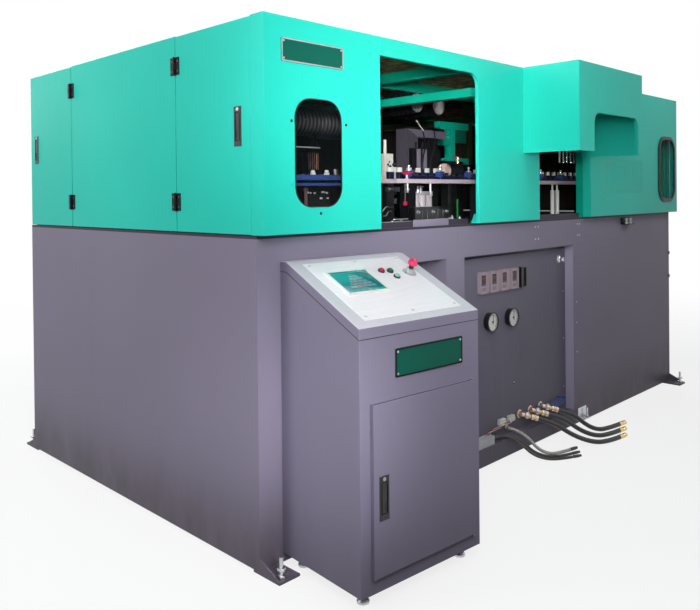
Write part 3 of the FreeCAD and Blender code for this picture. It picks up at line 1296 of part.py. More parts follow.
def build_duct():
    """The ribbed air duct over the blow station: a ruled loft of rings along X."""
    feature = doc.addObject("Part::Feature", "AirDuct")
    outer, pitch = float(s.duct_radius), float(s.duct_length) / int(s.duct_ribs.value)
    inner = outer * 0.87

    def rings(grow):
        """Four circles for each rib, and a plain collar at each end."""
        wires = []
        for number in range(int(s.duct_ribs.value)):
            for share, radius in ((0.0, inner), (0.3, outer), (0.6, outer), (0.9, inner)):
                centre = Vector((number + share) * pitch, 0, 0)
                wires.append(Part.Wire([Part.makeCircle(radius + grow, centre, Vector(1, 0, 0))]))
        return wires

    skin = Part.makeLoft(rings(0), True, True)
    bore = Part.makeCylinder(inner - 4, 2 * float(s.duct_length), Vector(-50, 0, 0), Vector(1, 0, 0))
    feature.Shape = skin.cut(bore)
    feature.Placement = Placement(Vector(float(along(240)), float(behind(s.duct_back)),
                                         float(s.duct_height)), Rotation())
    node("air_duct", feature)


def main():
    """Builds every sub-part, tests the document and writes one file for each."""
    build_base()
    build_frame()
    build_front_covers()
    build_hood()
    build_side_covers()
    build_end_doors()
    build_console()
    build_service_panel()
    build_cords()
    build_rail_and_train()
    build_chain_wheel()
    build_gantry()
    build_clamp()
    build_duct()
    doc.recompute()
    failed = [obj.Label for obj in doc.Objects if "Invalid" in obj.State or "Error" in obj.State]
    if failed:
        raise RuntimeError("features failed: " + ", ".join(failed))
    os.makedirs("parts", exist_ok=True)
    for label, obj in NODES.items():
        shape = obj.Shape
        if shape.isNull() or not shape.isValid() or not shape.Solids:
            raise RuntimeError("bad shape: " + label)
    for label, obj in NODES.items():
        obj.Shape.exportStep("parts/{}.step".format(label))
        box = obj.Shape.BoundBox
        print("{:22s} solids {:2d}  faces {:4d}  x {:8.1f} {:8.1f}  y {:8.1f} {:8.1f}  z {:7.1f} {:7.1f}".format(
            label, len(obj.Shape.Solids), len(obj.Shape.Faces), box.XMin, box.XMax, box.YMin, box.YMax,
            box.ZMin, box.ZMax))
    print("{} nodes".format(len(NODES)))


main()
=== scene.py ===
"""Looks for a linear stretch blow moulding machine: paint, windows, panel, console, hoses and studio.

Lengths are in millimetres in the machine's own frame, measured from the cabinet's left front corner
on the floor, and are brought into the row's frame, in metres, as each piece is finished. The tests that
share out a node's finishes read its faces in the row's frame, so their limits are in metres.
"""

import json
import logging
import math
from dataclasses import dataclass
from enum import Enum
from itertools import product
from typing import Any, Callable, Iterable, Sequence

import bmesh
import bpy
from mathutils import Matrix, Vector

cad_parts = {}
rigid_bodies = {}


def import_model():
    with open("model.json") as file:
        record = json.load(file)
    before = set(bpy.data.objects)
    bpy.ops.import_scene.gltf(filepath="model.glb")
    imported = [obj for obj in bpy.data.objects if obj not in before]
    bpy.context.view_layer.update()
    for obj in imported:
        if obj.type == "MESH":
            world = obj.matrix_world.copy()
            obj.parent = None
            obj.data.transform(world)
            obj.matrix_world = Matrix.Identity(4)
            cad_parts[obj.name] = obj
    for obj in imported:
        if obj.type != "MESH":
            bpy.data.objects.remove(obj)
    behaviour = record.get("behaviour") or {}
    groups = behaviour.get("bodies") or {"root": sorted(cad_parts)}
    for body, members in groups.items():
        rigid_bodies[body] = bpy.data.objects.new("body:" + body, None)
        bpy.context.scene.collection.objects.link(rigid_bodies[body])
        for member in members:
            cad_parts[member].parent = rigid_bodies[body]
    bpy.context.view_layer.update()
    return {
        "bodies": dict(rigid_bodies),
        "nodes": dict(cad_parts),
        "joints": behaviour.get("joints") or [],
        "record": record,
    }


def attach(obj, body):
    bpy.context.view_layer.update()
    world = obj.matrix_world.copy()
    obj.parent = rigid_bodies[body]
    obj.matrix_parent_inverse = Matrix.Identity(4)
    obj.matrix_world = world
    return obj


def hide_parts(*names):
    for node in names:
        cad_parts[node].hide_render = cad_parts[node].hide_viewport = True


LOG = logging.getLogger("blow_moulder")
BASE_LENGTH = 4100.0
BASE_WIDTH = 2130.0
MACHINE = Matrix.Scale(0.001, 4) @ Matrix.Translation((-BASE_LENGTH / 2, -BASE_WIDTH / 2, 0))
CONSOLE_CORNER = (76, -478.3, 0)
CONSOLE_TURN = math.radians(-5)
CONSOLE = MACHINE @ Matrix.Translation(CONSOLE_CORNER) @ Matrix.Rotation(CONSOLE_TURN, 4, "Z")
LID_RISE = 211
LID_RUN = 438
DESK_FRONT_HEIGHT = 1013
DESK_SLOPE = math.atan2(LID_RISE, LID_RUN)
DESK = CONSOLE @ Matrix.Translation((0, 0, DESK_FRONT_HEIGHT)) @ Matrix.Rotation(DESK_SLOPE, 4, "X")
COVER_FACE = -55.0
PANEL_FACE = 58.0
ON_DECK = 1330.3
ON_RAIL = 1570.2
LEFT, FORWARD, BACK, RIGHT, UP = (-1, 0, 0), (0, -1, 0), (0, 1, 0), (1, 0, 0), (0, 0, 1)

Point = tuple[float, float, float]
Spot = tuple[float, float]
Colour = tuple[float, float, float]
FaceTest = Callable[[Vector, Vector], bool]
frame: dict[str, Any] = {}


class Body(Enum):
    """The rigid bodies that pieces ride on."""

    MACHINE = "machine"
    NEAR_DOOR = "near_end_door"
    FAR_DOOR = "far_end_door"
    CONSOLE_DOOR = "console_front_door"
    STOP_HEAD = "stop_mushroom"
    KNOB = "knob"
    TRAIN = "mandrel_train"
    WHEEL = "wheel"
    STRETCHER = "stretcher"


class Axis(Enum):
    """A direction that a turned piece stands along."""

    X = "X"
    Y = "Y"
    Z = "Z"


# ---------------------------------------------------------------- shader graphs


def linear(red: int, green: int, blue: int) -> Colour:
    """Turns a colour seen on screen into the light values that a shader takes.

    Args:
        red: its red, 0 to 255.
        green: its green.
        blue: its blue.

    Returns:
        The three light values.
    """
    def one(value: int) -> float:
        """One channel."""
        share = value / 255
        return share / 12.92 if share <= 0.04045 else ((share + 0.055) / 1.055) ** 2.4

    return one(red), one(green), one(blue)


def toned(colour: Colour, factor: float, lift: float = 0.0) -> Colour:
    """A colour made darker by a factor, or paler by a lift."""
    return tuple(min(1.0, channel * factor + lift) for channel in colour)


def math_node(operation: str, swapped: bool = False) -> Callable[..., "Wire"]:
    """Makes the method of a wire that adds one kind of Math node.

    Args:
        operation: the node's operation.
        swapped: whether the other value comes first, as in a reflected operator.

    Returns:
        The method.
    """
    def apply(wire: "Wire", other: Any = 0.0) -> "Wire":
        """Adds the node and returns its result."""
        first, second = (other, wire) if swapped else (wire, other)
        return wire.graph.add("ShaderNodeMath", {"operation": operation}, {0: first, 1: second})

    return apply


class Wire:
    """A value in a shader graph that takes part in arithmetic."""

    __add__ = math_node("ADD")
    __radd__ = math_node("ADD", swapped=True)
    __sub__ = math_node("SUBTRACT")
    __rsub__ = math_node("SUBTRACT", swapped=True)
    __mul__ = math_node("MULTIPLY")
    __rmul__ = math_node("MULTIPLY", swapped=True)
    __lt__ = math_node("LESS_THAN")
    __gt__ = math_node("GREATER_THAN")
    __abs__ = math_node("ABSOLUTE")
    most = math_node("MAXIMUM")
    wrap = math_node("FLOORED_MODULO")
    bearing = math_node("ARCTAN2")
    root = math_node("SQRT")

    def __init__(self, graph: "Graph", socket: bpy.types.NodeSocket) -> None:
        """Wraps one socket of a graph."""
        self.graph = graph
        self.socket = socket

    def eased(self, low: float, high: float) -> "Wire":
        """A smooth step: 0 up to low and 1 from high on."""
        return self.graph.add("ShaderNodeMapRange", {"interpolation_type": "SMOOTHSTEP", "clamp": True},
                              {"Value": self, "From Min": low, "From Max": high})

    def near(self, middle: float, reach: Any) -> "Wire":
        """1 where self is closer to a middle than a reach."""
        return abs(self - middle) < reach

    def between(self, low: float, high: float) -> "Wire":
        """1 where self is over low and under high."""
        return (self > low) * (self < high)


class Graph:
    """One material's node graph."""

    def __init__(self, name: str) -> None:
        """Makes an empty material of that name."""
        self.material = bpy.data.materials.new(name)
        self.material.use_nodes = True
        self.tree = self.material.node_tree
        self.tree.nodes.clear()

    def add(self, kind: str, settings: dict[str, Any] | None = None,
            inputs: dict[str | int, Any] | None = None, output: str | int = 0) -> Wire:
        """Adds a node.

        Args:
            kind: the node's type.
            settings: its own properties, set before its sockets; "stops" fills a colour ramp.
            inputs: a value or a Wire for each named or numbered socket.
            output: the socket that is returned.

        Returns:
            The chosen output.
        """
        node = self.tree.nodes.new(kind)
        for key, value in (settings or {}).items():
            if key == "stops":
                ramp = node.color_ramp
                while len(ramp.elements) < len(value):
                    ramp.elements.new(0.5)
                for element, (place, colour) in zip(ramp.elements, value):
                    element.position = place
                    element.color = (*colour, 1.0)
            else:
                setattr(node, key, value)
        for key, value in (inputs or {}).items():
            socket = node.inputs[key]
            if isinstance(value, Wire):
                self.tree.links.new(value.socket, socket)
            elif isinstance(value, tuple) and len(value) == 3 and socket.type == "RGBA":
                socket.default_value = (*value, 1.0)
            else:
                socket.default_value = value
        return Wire(self, node.outputs[output])

    def place(self, scale: Point = (1, 1, 1), turn: Point = (0, 0, 0), move: Point = (0, 0, 0)) -> Wire:
        """Object coordinates in metres, moved, turned and stretched."""
        source = self.add("ShaderNodeTexCoord", output="Object")
        return self.add("ShaderNodeMapping", {"vector_type": "POINT"},
                        {"Vector": source, "Location": move, "Rotation": turn, "Scale": scale})

    def flat(self) -> Wire:
        """The piece's own UV map."""
        return self.add("ShaderNodeTexCoord", output="UV")

    def parts(self, vector: Wire) -> tuple[Wire, Wire, Wire]:
        """A vector's three parts."""
        split = self.tree.nodes.new("ShaderNodeSeparateXYZ")
        self.tree.links.new(vector.socket, split.inputs[0])
        return tuple(Wire(self, socket) for socket in split.outputs)

    def noise(self, vector: Wire, scale: float, detail: float = 3.0, rough: float = 0.5) -> Wire:
        """Soft irregular variation, 0 to 1."""
        return self.add("ShaderNodeTexNoise", None,
                        {"Vector": vector, "Scale": scale, "Detail": detail, "Roughness": rough})

    def cells(self, vector: Wire, scale: float, feature: str = "F1") -> Wire:
        """Distance inside a field of random cells."""
        return self.add("ShaderNodeTexVoronoi", {"feature": feature}, {"Vector": vector, "Scale": scale})

    def blend(self, share: Any, first: Any, second: Any, mode: str = "MIX") -> Wire:
        """Mixes two colours."""
        return self.add("ShaderNodeMix", {"data_type": "RGBA", "blend_type": mode},
                        {0: share, 6: first, 7: second}, output=2)

    def bump(self, height: Wire, depth: float, strength: float = 1.0, onto: Wire | None = None) -> Wire:
        """A bump from a height in metres times depth."""
        inputs: dict[str | int, Any] = {"Height": height, "Distance": depth, "Strength": strength}
        if onto is not None:
            inputs["Normal"] = onto
        return self.add("ShaderNodeBump", None, inputs)

    def surface(self, **inputs: Any) -> bpy.types.Material:
        """Closes the graph with one principled surface.

        Args:
            inputs: its sockets by name, with underscores for spaces.

        Returns:
            The finished material.
        """
        named = {key.replace("_", " "): value for key, value in inputs.items()}
        shader = self.add("ShaderNodeBsdfPrincipled", None, named)
        self.add_output(shader)
        return self.material

    def add_output(self, shader: Wire) -> None:
        """Leads a shader to the surface."""
        end = self.tree.nodes.new("ShaderNodeOutputMaterial")
        self.tree.links.new(shader.socket, end.inputs["Surface"])


# ---------------------------------------------------------------- finishes


class Finish:
    """A surface finish that is made once and shared."""

    made: dict[Any, bpy.types.Material] = {}

    def material(self) -> bpy.types.Material:
        """The finish's material, made on first use."""
        if self not in Finish.made:
            Finish.made[self] = self.paint()
        return Finish.made[self]

    def paint(self) -> bpy.types.Material:
        """Builds the material."""
        raise NotImplementedError


@dataclass(frozen=True)
class PowderCoat(Finish):
    """Sprayed and baked paint on sheet steel, with orange peel, faint handling marks, floor dust mixed with painted
    shade towards the floor, and painted shade below a set height.
    """

    name: str
    colour: Colour
    rough: float = 0.38
    peel: float = 0.5
    dust_and_shade: float = 0.0
    wear: float = 0.35
    painted_shade_below: float = 0.0

    def paint(self) -> bpy.types.Material:
        """Builds the paint.

        Returns:
            The material.
        """
        g = Graph(self.name)
        at = g.place()
        _, _, z = g.parts(at)
        broad = g.noise(at, 1.1, 2.0)
        patch = g.noise(g.place(scale=(3.0, 3.0, 1.2)), 2.2, 5.0, 0.6)
        streak = g.noise(g.place(scale=(16.0, 16.0, 0.7)), 1.0, 4.0, 0.65)
        speck = g.noise(at, 420.0, 1.0)
        shade = toned(self.colour, 0.72)
        chalk = toned(self.colour, 0.75, 0.2)
        colour = g.blend(broad.eased(0.25, 0.75) * 0.30, self.colour, shade)
        marks = patch.eased(0.60, 0.82) * self.wear * 0.5
        colour = g.blend(marks, colour, shade)
        runs = streak.eased(0.62, 0.80) * self.wear * 0.22
        colour = g.blend(runs, colour, chalk)
        # Darker towards the floor: floor dust mixed with painted shade.
        if self.dust_and_shade:
            low = (1.0 - z.eased(0.0, 0.42)) * (0.35 + patch * 0.9) * self.dust_and_shade
            colour = g.blend(low, colour, linear(92, 84, 88))
        # Painted shade: the coat turns near black below a set height.
        if self.painted_shade_below:
            shaded = 1.0 - z.eased(self.painted_shade_below, self.painted_shade_below + 0.02)
            colour = g.blend(shaded, colour, linear(22, 20, 24))
        fine = g.blend((speck - 0.5) * 0.10 + 0.03, colour, shade)
        rough = self.rough + (patch - 0.5) * 0.16 + marks * 0.25
        peel = g.noise(at, 300.0, 2.0, 0.55)
        wave = g.noise(at, 3.5, 1.0)
        normal = g.bump(peel, 0.00035 * self.peel, 0.55, g.bump(wave, 0.004, 0.16))
        return g.surface(Base_Color=fine, Roughness=rough, Normal=normal, Specular_IOR_Level=0.1)


@dataclass(frozen=True)
class RawSheet(Finish):
    """A dull primer with rubbed stripes; inside the covers its dark colour is partly painted shade."""

    name: str
    colour: Colour

    def paint(self) -> bpy.types.Material:
        """Builds the primer.

        Returns:
            The material.
        """
        g = Graph(self.name)
        stripe = g.noise(g.place(scale=(9.0, 9.0, 0.5)), 2.4, 3.0, 0.6)
        grain = g.noise(g.place(), 160.0, 3.0)
        dark = toned(self.colour, 0.35)
        colour = g.blend(stripe.eased(0.35, 0.65), dark, self.colour)
        return g.surface(Base_Color=g.blend((grain - 0.5) * 0.3, colour, dark), Roughness=0.6 + grain * 0.2,
                         Normal=g.bump(grain, 0.0004, 0.4))


@dataclass(frozen=True)
class BrushedMetal(Finish):
    """Steel sheet brushed across the desk, with fine lines and soft finger marks."""

    name: str
    colour: Colour
    turn: Point = (-DESK_SLOPE, 0, -CONSOLE_TURN)
    stretch: Point = (5.0, 700.0, 60.0)
    rough: float = 0.42
    metal: float = 0.22

    def paint(self) -> bpy.types.Material:
        """Builds the brushed surface.

        Returns:
            The material.
        """
        g = Graph(self.name)
        lines = g.noise(g.place(scale=self.stretch, turn=self.turn), 1.0, 4.0, 0.6)
        smear = g.noise(g.place(), 7.0, 4.0, 0.6)
        dark = toned(self.colour, 0.86)
        colour = g.blend(lines.eased(0.30, 0.75), dark, self.colour)
        rough = self.rough + (lines - 0.5) * 0.22 + smear.eased(0.45, 0.8) * 0.12
        return g.surface(Base_Color=g.blend(smear.eased(0.5, 0.85) * 0.35, colour, dark), Metallic=self.metal,
                         Roughness=rough, Normal=g.bump(lines, 0.00006, 0.6))


@dataclass(frozen=True)
class TurnedMetal(Finish):
    """Turned, plated or cast metal, with tool marks across Z and darker oil film."""

    name: str
    colour: Colour
    rough: float = 0.22
    film: float = 0.3

    def paint(self) -> bpy.types.Material:
        """Builds the metal.

        Returns:
            The material.
        """
        g = Graph(self.name)
        at = g.place()
        rings = g.noise(g.place(scale=(1.0, 1.0, 26.0)), 60.0, 2.0)
        oil = g.noise(at, 22.0, 4.0, 0.6)
        dark = toned(self.colour, 0.42)
        colour = g.blend(oil.eased(0.45, 0.75) * self.film, self.colour, dark)
        return g.surface(Base_Color=colour, Metallic=1.0, Roughness=self.rough + (oil - 0.4) * 0.3,
                         Normal=g.bump(rings, 0.0001, 0.35))


@dataclass(frozen=True)
class Plastic(Finish):
    """Moulded plastic with a fine spark grain."""

    name: str
    colour: Colour
    rough: float = 0.42
    grain: float = 700.0
    glow: float = 0.0

    def paint(self) -> bpy.types.Material:
        """Builds the plastic.

        Returns:
            The material.
        """
        g = Graph(self.name)
        at = g.place()
        pits = g.cells(at, self.grain)
        cloud = g.noise(at, 14.0, 4.0, 0.6)
        worn = toned(self.colour, 0.8, 0.02)
        colour = g.blend(cloud.eased(0.42, 0.8) * 0.5, self.colour, worn)
        return g.surface(Base_Color=colour, Roughness=self.rough + (cloud - 0.5) * 0.18,
                         Normal=g.bump(pits, 0.00012, 0.3), Emission_Color=(*self.colour, 1.0),
                         Emission_Strength=self.glow)


@dataclass(frozen=True)
class Rubber(Finish):
    """Black rubber with a dusty bloom and fine skin marks."""

    name: str
    colour: Colour = (0.012, 0.012, 0.013)
    rough: float = 0.5

    def paint(self) -> bpy.types.Material:
        """Builds the rubber.

        Returns:
            The material.
        """
        g = Graph(self.name)
        at = g.place()
        bloom = g.noise(at, 9.0, 5.0, 0.65)
        skin = g.noise(at, 380.0, 2.0)
        pale = toned(self.colour, 1.0, 0.035)
        colour = g.blend(bloom.eased(0.45, 0.75) * 0.7, self.colour, pale)
        return g.surface(Base_Color=colour, Roughness=self.rough + bloom * 0.15 - 0.05,
                         Normal=g.bump(skin, 0.0003, 0.35))


@dataclass(frozen=True)
class Sleeve(Finish):
    """A woven or spiral sleeve, drawn as crossed threads."""

    name: str
    colour: Colour

    def paint(self) -> bpy.types.Material:
        """Builds the weave.

        Returns:
            The material.
        """
        g = Graph(self.name)
        threads = [g.add("ShaderNodeTexWave", {"wave_type": "BANDS", "bands_direction": "DIAGONAL"},
                         {"Vector": g.place(scale=(way, 1, 1)), "Scale": 90.0, "Distortion": 1.2,
                          "Detail": 1.0}, output="Fac") for way in (1, -1)]
        weave = threads[0].most(threads[1])
        soil = g.noise(g.place(), 16.0, 4.0)
        dark = toned(self.colour, 0.35)
        colour = g.blend(weave.eased(0.3, 0.8), dark, self.colour)
        return g.surface(Base_Color=g.blend(soil.eased(0.5, 0.8) * 0.4, colour, dark), Roughness=0.7,
                         Normal=g.bump(weave, 0.0008, 0.7))


@dataclass(frozen=True)
class WindowSheet(Finish):
    """A clear acrylic pane with faint wiping marks."""

    name: str
    colour: Colour
    cover: float = 0.04

    def paint(self) -> bpy.types.Material:
        """Builds the pane.

        Returns:
            The material.
        """
        g = Graph(self.name)
        wipe = g.noise(g.place(scale=(3.0, 3.0, 14.0), turn=(0, 0.5, 0)), 2.0, 5.0, 0.6)
        haze = self.cover + wipe.eased(0.5, 0.85) * 0.05
        return g.surface(Base_Color=self.colour, Roughness=0.04 + wipe * 0.08, Alpha=haze,
                         Specular_IOR_Level=0.3)


@dataclass(frozen=True)
class ScreenFace(Finish):
    """The lit touch screen: a teal page with a title bar, a row of keys and a stepped drawing."""

    name: str

    def paint(self) -> bpy.types.Material:
        """Builds the page from the screen's own flat coordinates.

        Returns:
            The material.
        """
        g = Graph(self.name)
        u, v, _ = g.parts(g.flat())
        page = g.blend(v.eased(0.0, 1.0), linear(16, 104, 108), linear(26, 128, 126))
        level = (v - 0.20).most(0.0)
        step = level - level.wrap(0.11)
        reach = 0.31 - step * 0.45
        tower = u.near(0.52, reach) * v.between(0.20, 0.80)
        seams = (level.wrap(0.11) > 0.018) * ((u + step * 0.5).wrap(0.12) > 0.012)
        body = g.blend(seams, linear(24, 60, 66), linear(112, 138, 144))
        page = g.blend(tower, page, body)
        title = v > 0.88
        page = g.blend(title, page, linear(60, 150, 150))
        lines = v.between(0.91, 0.95) * u.between(0.08, 0.52) * (u.wrap(0.035) > 0.012)
        page = g.blend(lines, page, linear(20, 60, 70))
        keys = v.between(0.03, 0.13) * (u.wrap(0.16) > 0.03)
        page = g.blend(keys, page, linear(30, 132, 132))
        border = (abs(u - 0.5) > 0.485).most(abs(v - 0.5) > 0.48)
        page = g.blend(border, page, linear(6, 34, 36))
        return g.surface(Base_Color=page, Roughness=0.16, Emission_Color=page, Emission_Strength=0.35,
                         Coat_Weight=0.6, Coat_Roughness=0.04)


@dataclass(frozen=True)
class DialFace(Finish):
    """A gauge's white dial, with its ticks and coloured arc, centred on the gauge."""

    name: str
    centre: Point

    def paint(self) -> bpy.types.Material:
        """Builds the dial from the distance and the angle about its centre.

        Returns:
            The material.
        """
        g = Graph(self.name)
        x, _, z = g.parts(g.place(move=tuple(-part for part in self.centre)))
        far = (x * x + z * z).root()
        turned = x.bearing(z) * (180 / math.pi)
        on_scale = abs(turned) < 136.5
        small = (turned + 135.0 + 0.9).wrap(5.4) < 1.8
        large = (turned + 135.0 + 1.6).wrap(27.0) < 3.2
        ticks = (small * far.between(0.0375, 0.0415)).most(large * far.between(0.0345, 0.0415))
        arc = far.between(0.0415, 0.0425)
        paper = g.noise(g.place(), 90.0, 2.0)
        white = g.blend(paper * 0.25, linear(240, 240, 236), linear(214, 216, 214))
        inked = g.blend(ticks.most(arc) * on_scale, white, linear(24, 24, 28))
        band = far.between(0.0430, 0.0450) * turned.between(54.0, 135.0)
        return g.surface(Base_Color=g.blend(band, inked, linear(196, 30, 30)), Roughness=0.5)


@dataclass(frozen=True)
class ModuleFace(Finish):
    """The front of one instrument module: a dark window with lit digits over a ribbed key field."""

    name: str

    def paint(self) -> bpy.types.Material:
        """Builds the front from its own flat coordinates.

        Returns:
            The material.
        """
        g = Graph(self.name)
        u, v, _ = g.parts(g.flat())
        soil = g.noise(g.place(), 60.0, 3.0)
        face = g.blend(soil * 0.4, linear(186, 170, 180), linear(150, 134, 144))
        window = u.near(0.56, 0.34) * v.near(0.64, 0.26)
        face = g.blend(window, face, linear(22, 24, 28))
        digit = (u.wrap(0.16) > 0.05) * u.near(0.5, 0.30) * v.near(0.73, 0.07)
        hollow = v.near(0.765, 0.016).most(v.near(0.695, 0.016))
        face = g.blend(digit * (1.0 - hollow), face, linear(150, 40, 34))
        keys = (u.wrap(0.24) > 0.07) * u.near(0.5, 0.38) * v.near(0.40, 0.07)
        face = g.blend(keys, face, linear(70, 74, 82))
        bars = (v.wrap(0.055) > 0.028) * u.near(0.5, 0.34) * v.between(0.06, 0.26)
        face = g.blend(bars, face, linear(96, 98, 104))
        return g.surface(Base_Color=face, Roughness=0.36 + soil * 0.15)


CABINET_PAINT = PowderCoat("cabinet_paint", linear(146, 139, 160), rough=0.40, dust_and_shade=0.8)
CONSOLE_PAINT = PowderCoat("console_paint", linear(148, 142, 165), rough=0.38, dust_and_shade=0.4)
# A lighter copy of the cabinet paint: painted light on one side of the recess.
LIT_SIDE_PAINT = PowderCoat("recess_side_painted_light", linear(196, 188, 216), rough=0.4, dust_and_shade=0.3)
RECESS_PAINT = PowderCoat("recess_paint", linear(122, 119, 135), rough=0.45, dust_and_shade=0.5, wear=0.6)
COVER_PAINT = PowderCoat("cover_paint", linear(48, 226, 205), rough=0.32, wear=0.18)
INNER_GREEN = PowderCoat("frame_paint", linear(18, 190, 158), rough=0.34, wear=0.4)
SHEET_GREEN = PowderCoat("sheet_green", linear(20, 112, 94), rough=0.4)
VENT_GREEN = PowderCoat("vent_mesh", linear(120, 214, 198), rough=0.5)
PLATE_GREEN = PowderCoat("plate_green", linear(12, 100, 84), rough=0.24, wear=0.2)
DECK_PAINT = PowderCoat("deck_paint", linear(66, 60, 72), rough=0.4, wear=0.8)
# Black paint, also used as painted shade on parts that stand in the dark.
BLACK_PAINT_AND_SHADE = PowderCoat("black_paint", linear(26, 26, 29), rough=0.36, wear=0.7)
GANTRY_PAINT = PowderCoat("gantry_paint", linear(112, 106, 122), rough=0.4, wear=0.8)
# A darker copy of the gantry paint as painted shade on the gantry's columns, near black below 1.56 m as further
# painted shade.
SHADED_COLUMN_PAINT = PowderCoat("column_painted_shade", linear(82, 78, 88), rough=0.4, wear=0.8, painted_shade_below=1.56)
# Painted shade for the frame's far posts and stays.
FRAME_SHADE_PAINT = PowderCoat("frame_painted_shade", linear(48, 62, 40), rough=0.5, wear=0.5)
BLUE_PAINT = PowderCoat("blue_paint", linear(58, 82, 150), rough=0.28, wear=0.5)
BAR_PAINT = PowderCoat("bar_paint", linear(20, 26, 58), rough=0.3, wear=0.6)
HEAD_PAINT = PowderCoat("bar_coat", linear(134, 128, 142), rough=0.34)
RAIL_PAINT = PowderCoat("rail_paint", linear(214, 198, 204), rough=0.34, wear=0.6)
POST_PAINT = PowderCoat("post_paint", linear(112, 84, 92), rough=0.45)
CASTING_PAINT = PowderCoat("casting_paint", linear(226, 222, 214), rough=0.4, wear=0.5)
DRIVE_PAINT = PowderCoat("drive_paint", linear(204, 180, 174), rough=0.4, wear=0.4)
BOWL_COAT = PowderCoat("bowl_coat", linear(214, 206, 212), rough=0.24, wear=0.9)
CYLINDER_PAINT = PowderCoat("cylinder_paint", linear(40, 190, 90), rough=0.3, wear=0.3)
# Dark brown primer of the covers' inner faces, darkened further as painted shade of the enclosure's inside.
INSIDE_PRIMER_AND_SHADE = RawSheet("cover_inside_primer_and_shade", linear(52, 44, 38))
CABINET_INSIDE = RawSheet("cabinet_inside", linear(60, 56, 62))
ROOF_LINING = RawSheet("roof_lining", linear(226, 196, 140))
DISC_MESH = RawSheet("disc_mesh", linear(206, 202, 206))
RIB_SHEET = RawSheet("rib_sheet", linear(160, 138, 126))
STEEL = TurnedMetal("machined_steel", (0.62, 0.62, 0.63))
ZINC = TurnedMetal("zinc_plate", (0.55, 0.56, 0.58), rough=0.32, film=0.5)
CHROME = TurnedMetal("gauge_chrome", (0.75, 0.75, 0.76), rough=0.08, film=0.05)
BRASS = TurnedMetal("brass", (0.72, 0.52, 0.22), rough=0.24, film=0.4)
BRONZE = TurnedMetal("bronze", (0.50, 0.40, 0.34), rough=0.3, film=0.9)
DARK_STEEL = TurnedMetal("dark_steel", (0.16, 0.165, 0.17), rough=0.36, film=0.6)
# Pale brushed steel whose colour is raised near white as a painted sheen.
DESK_STEEL_AND_SHEEN = BrushedMetal("desk_steel", (0.95, 0.91, 0.96))
LID_STEEL = BrushedMetal("lid_steel", (0.66, 0.63, 0.70))
BLACK_PLASTIC = Plastic("black_plastic", linear(20, 20, 22), rough=0.34)
WHITE_PLASTIC = Plastic("white_plastic", linear(226, 226, 220), rough=0.36)
SILVER_PLASTIC = Plastic("silver_plastic", linear(196, 200, 206), rough=0.34)
GREY_PLASTIC = Plastic("grey_plastic", linear(176, 180, 184), rough=0.45)
MODULE_PLASTIC = Plastic("module_plastic", linear(176, 158, 168), rough=0.4)
RED_PLASTIC = Plastic("red_plastic", linear(206, 20, 78), rough=0.24)
PINK_RED = Plastic("stop_red", linear(232, 40, 96), rough=0.26, glow=0.06)
DARK_GREEN = Plastic("dark_green_plastic", linear(10, 92, 62), rough=0.26)
LIGHT_GREEN = Plastic("light_green_plastic", linear(110, 196, 168), rough=0.26, glow=0.05)
BLUE_PLASTIC = Plastic("blue_tube", linear(24, 74, 168), rough=0.3)
LAMP_QUARTZ = Plastic("lamp_quartz", linear(236, 214, 190), rough=0.15, glow=0.15)
# Painted glow: an orange emitting colour for strips that are no lamp.
OVEN_PAINTED_GLOW = Plastic("oven_painted_glow", linear(230, 110, 30), glow=0.5)
SEAL_RUBBER = Rubber("seal_rubber")
HOSE_RUBBER = Rubber("hose_rubber", rough=0.36)
CABLE_JACKET = Rubber("cable_jacket", colour=(0.014, 0.014, 0.016), rough=0.3)
GANTRY_JACKET = Rubber("gantry_jacket", colour=(0.004, 0.004, 0.005), rough=0.45)
DUCT_RUBBER = Rubber("duct_rubber", colour=(0.006, 0.006, 0.007), rough=0.26)
WHITE_SLEEVE = Sleeve("white_sleeve", linear(214, 212, 206))
ACRYLIC = WindowSheet("window_glass", linear(30, 44, 46))
GAUGE_GLASS = WindowSheet("gauge_glass", linear(200, 210, 214), cover=0.03)
SCREEN_FACE = ScreenFace("screen_face")
MODULE_FACE = ModuleFace("module_face")


# ---------------------------------------------------------------- shapes


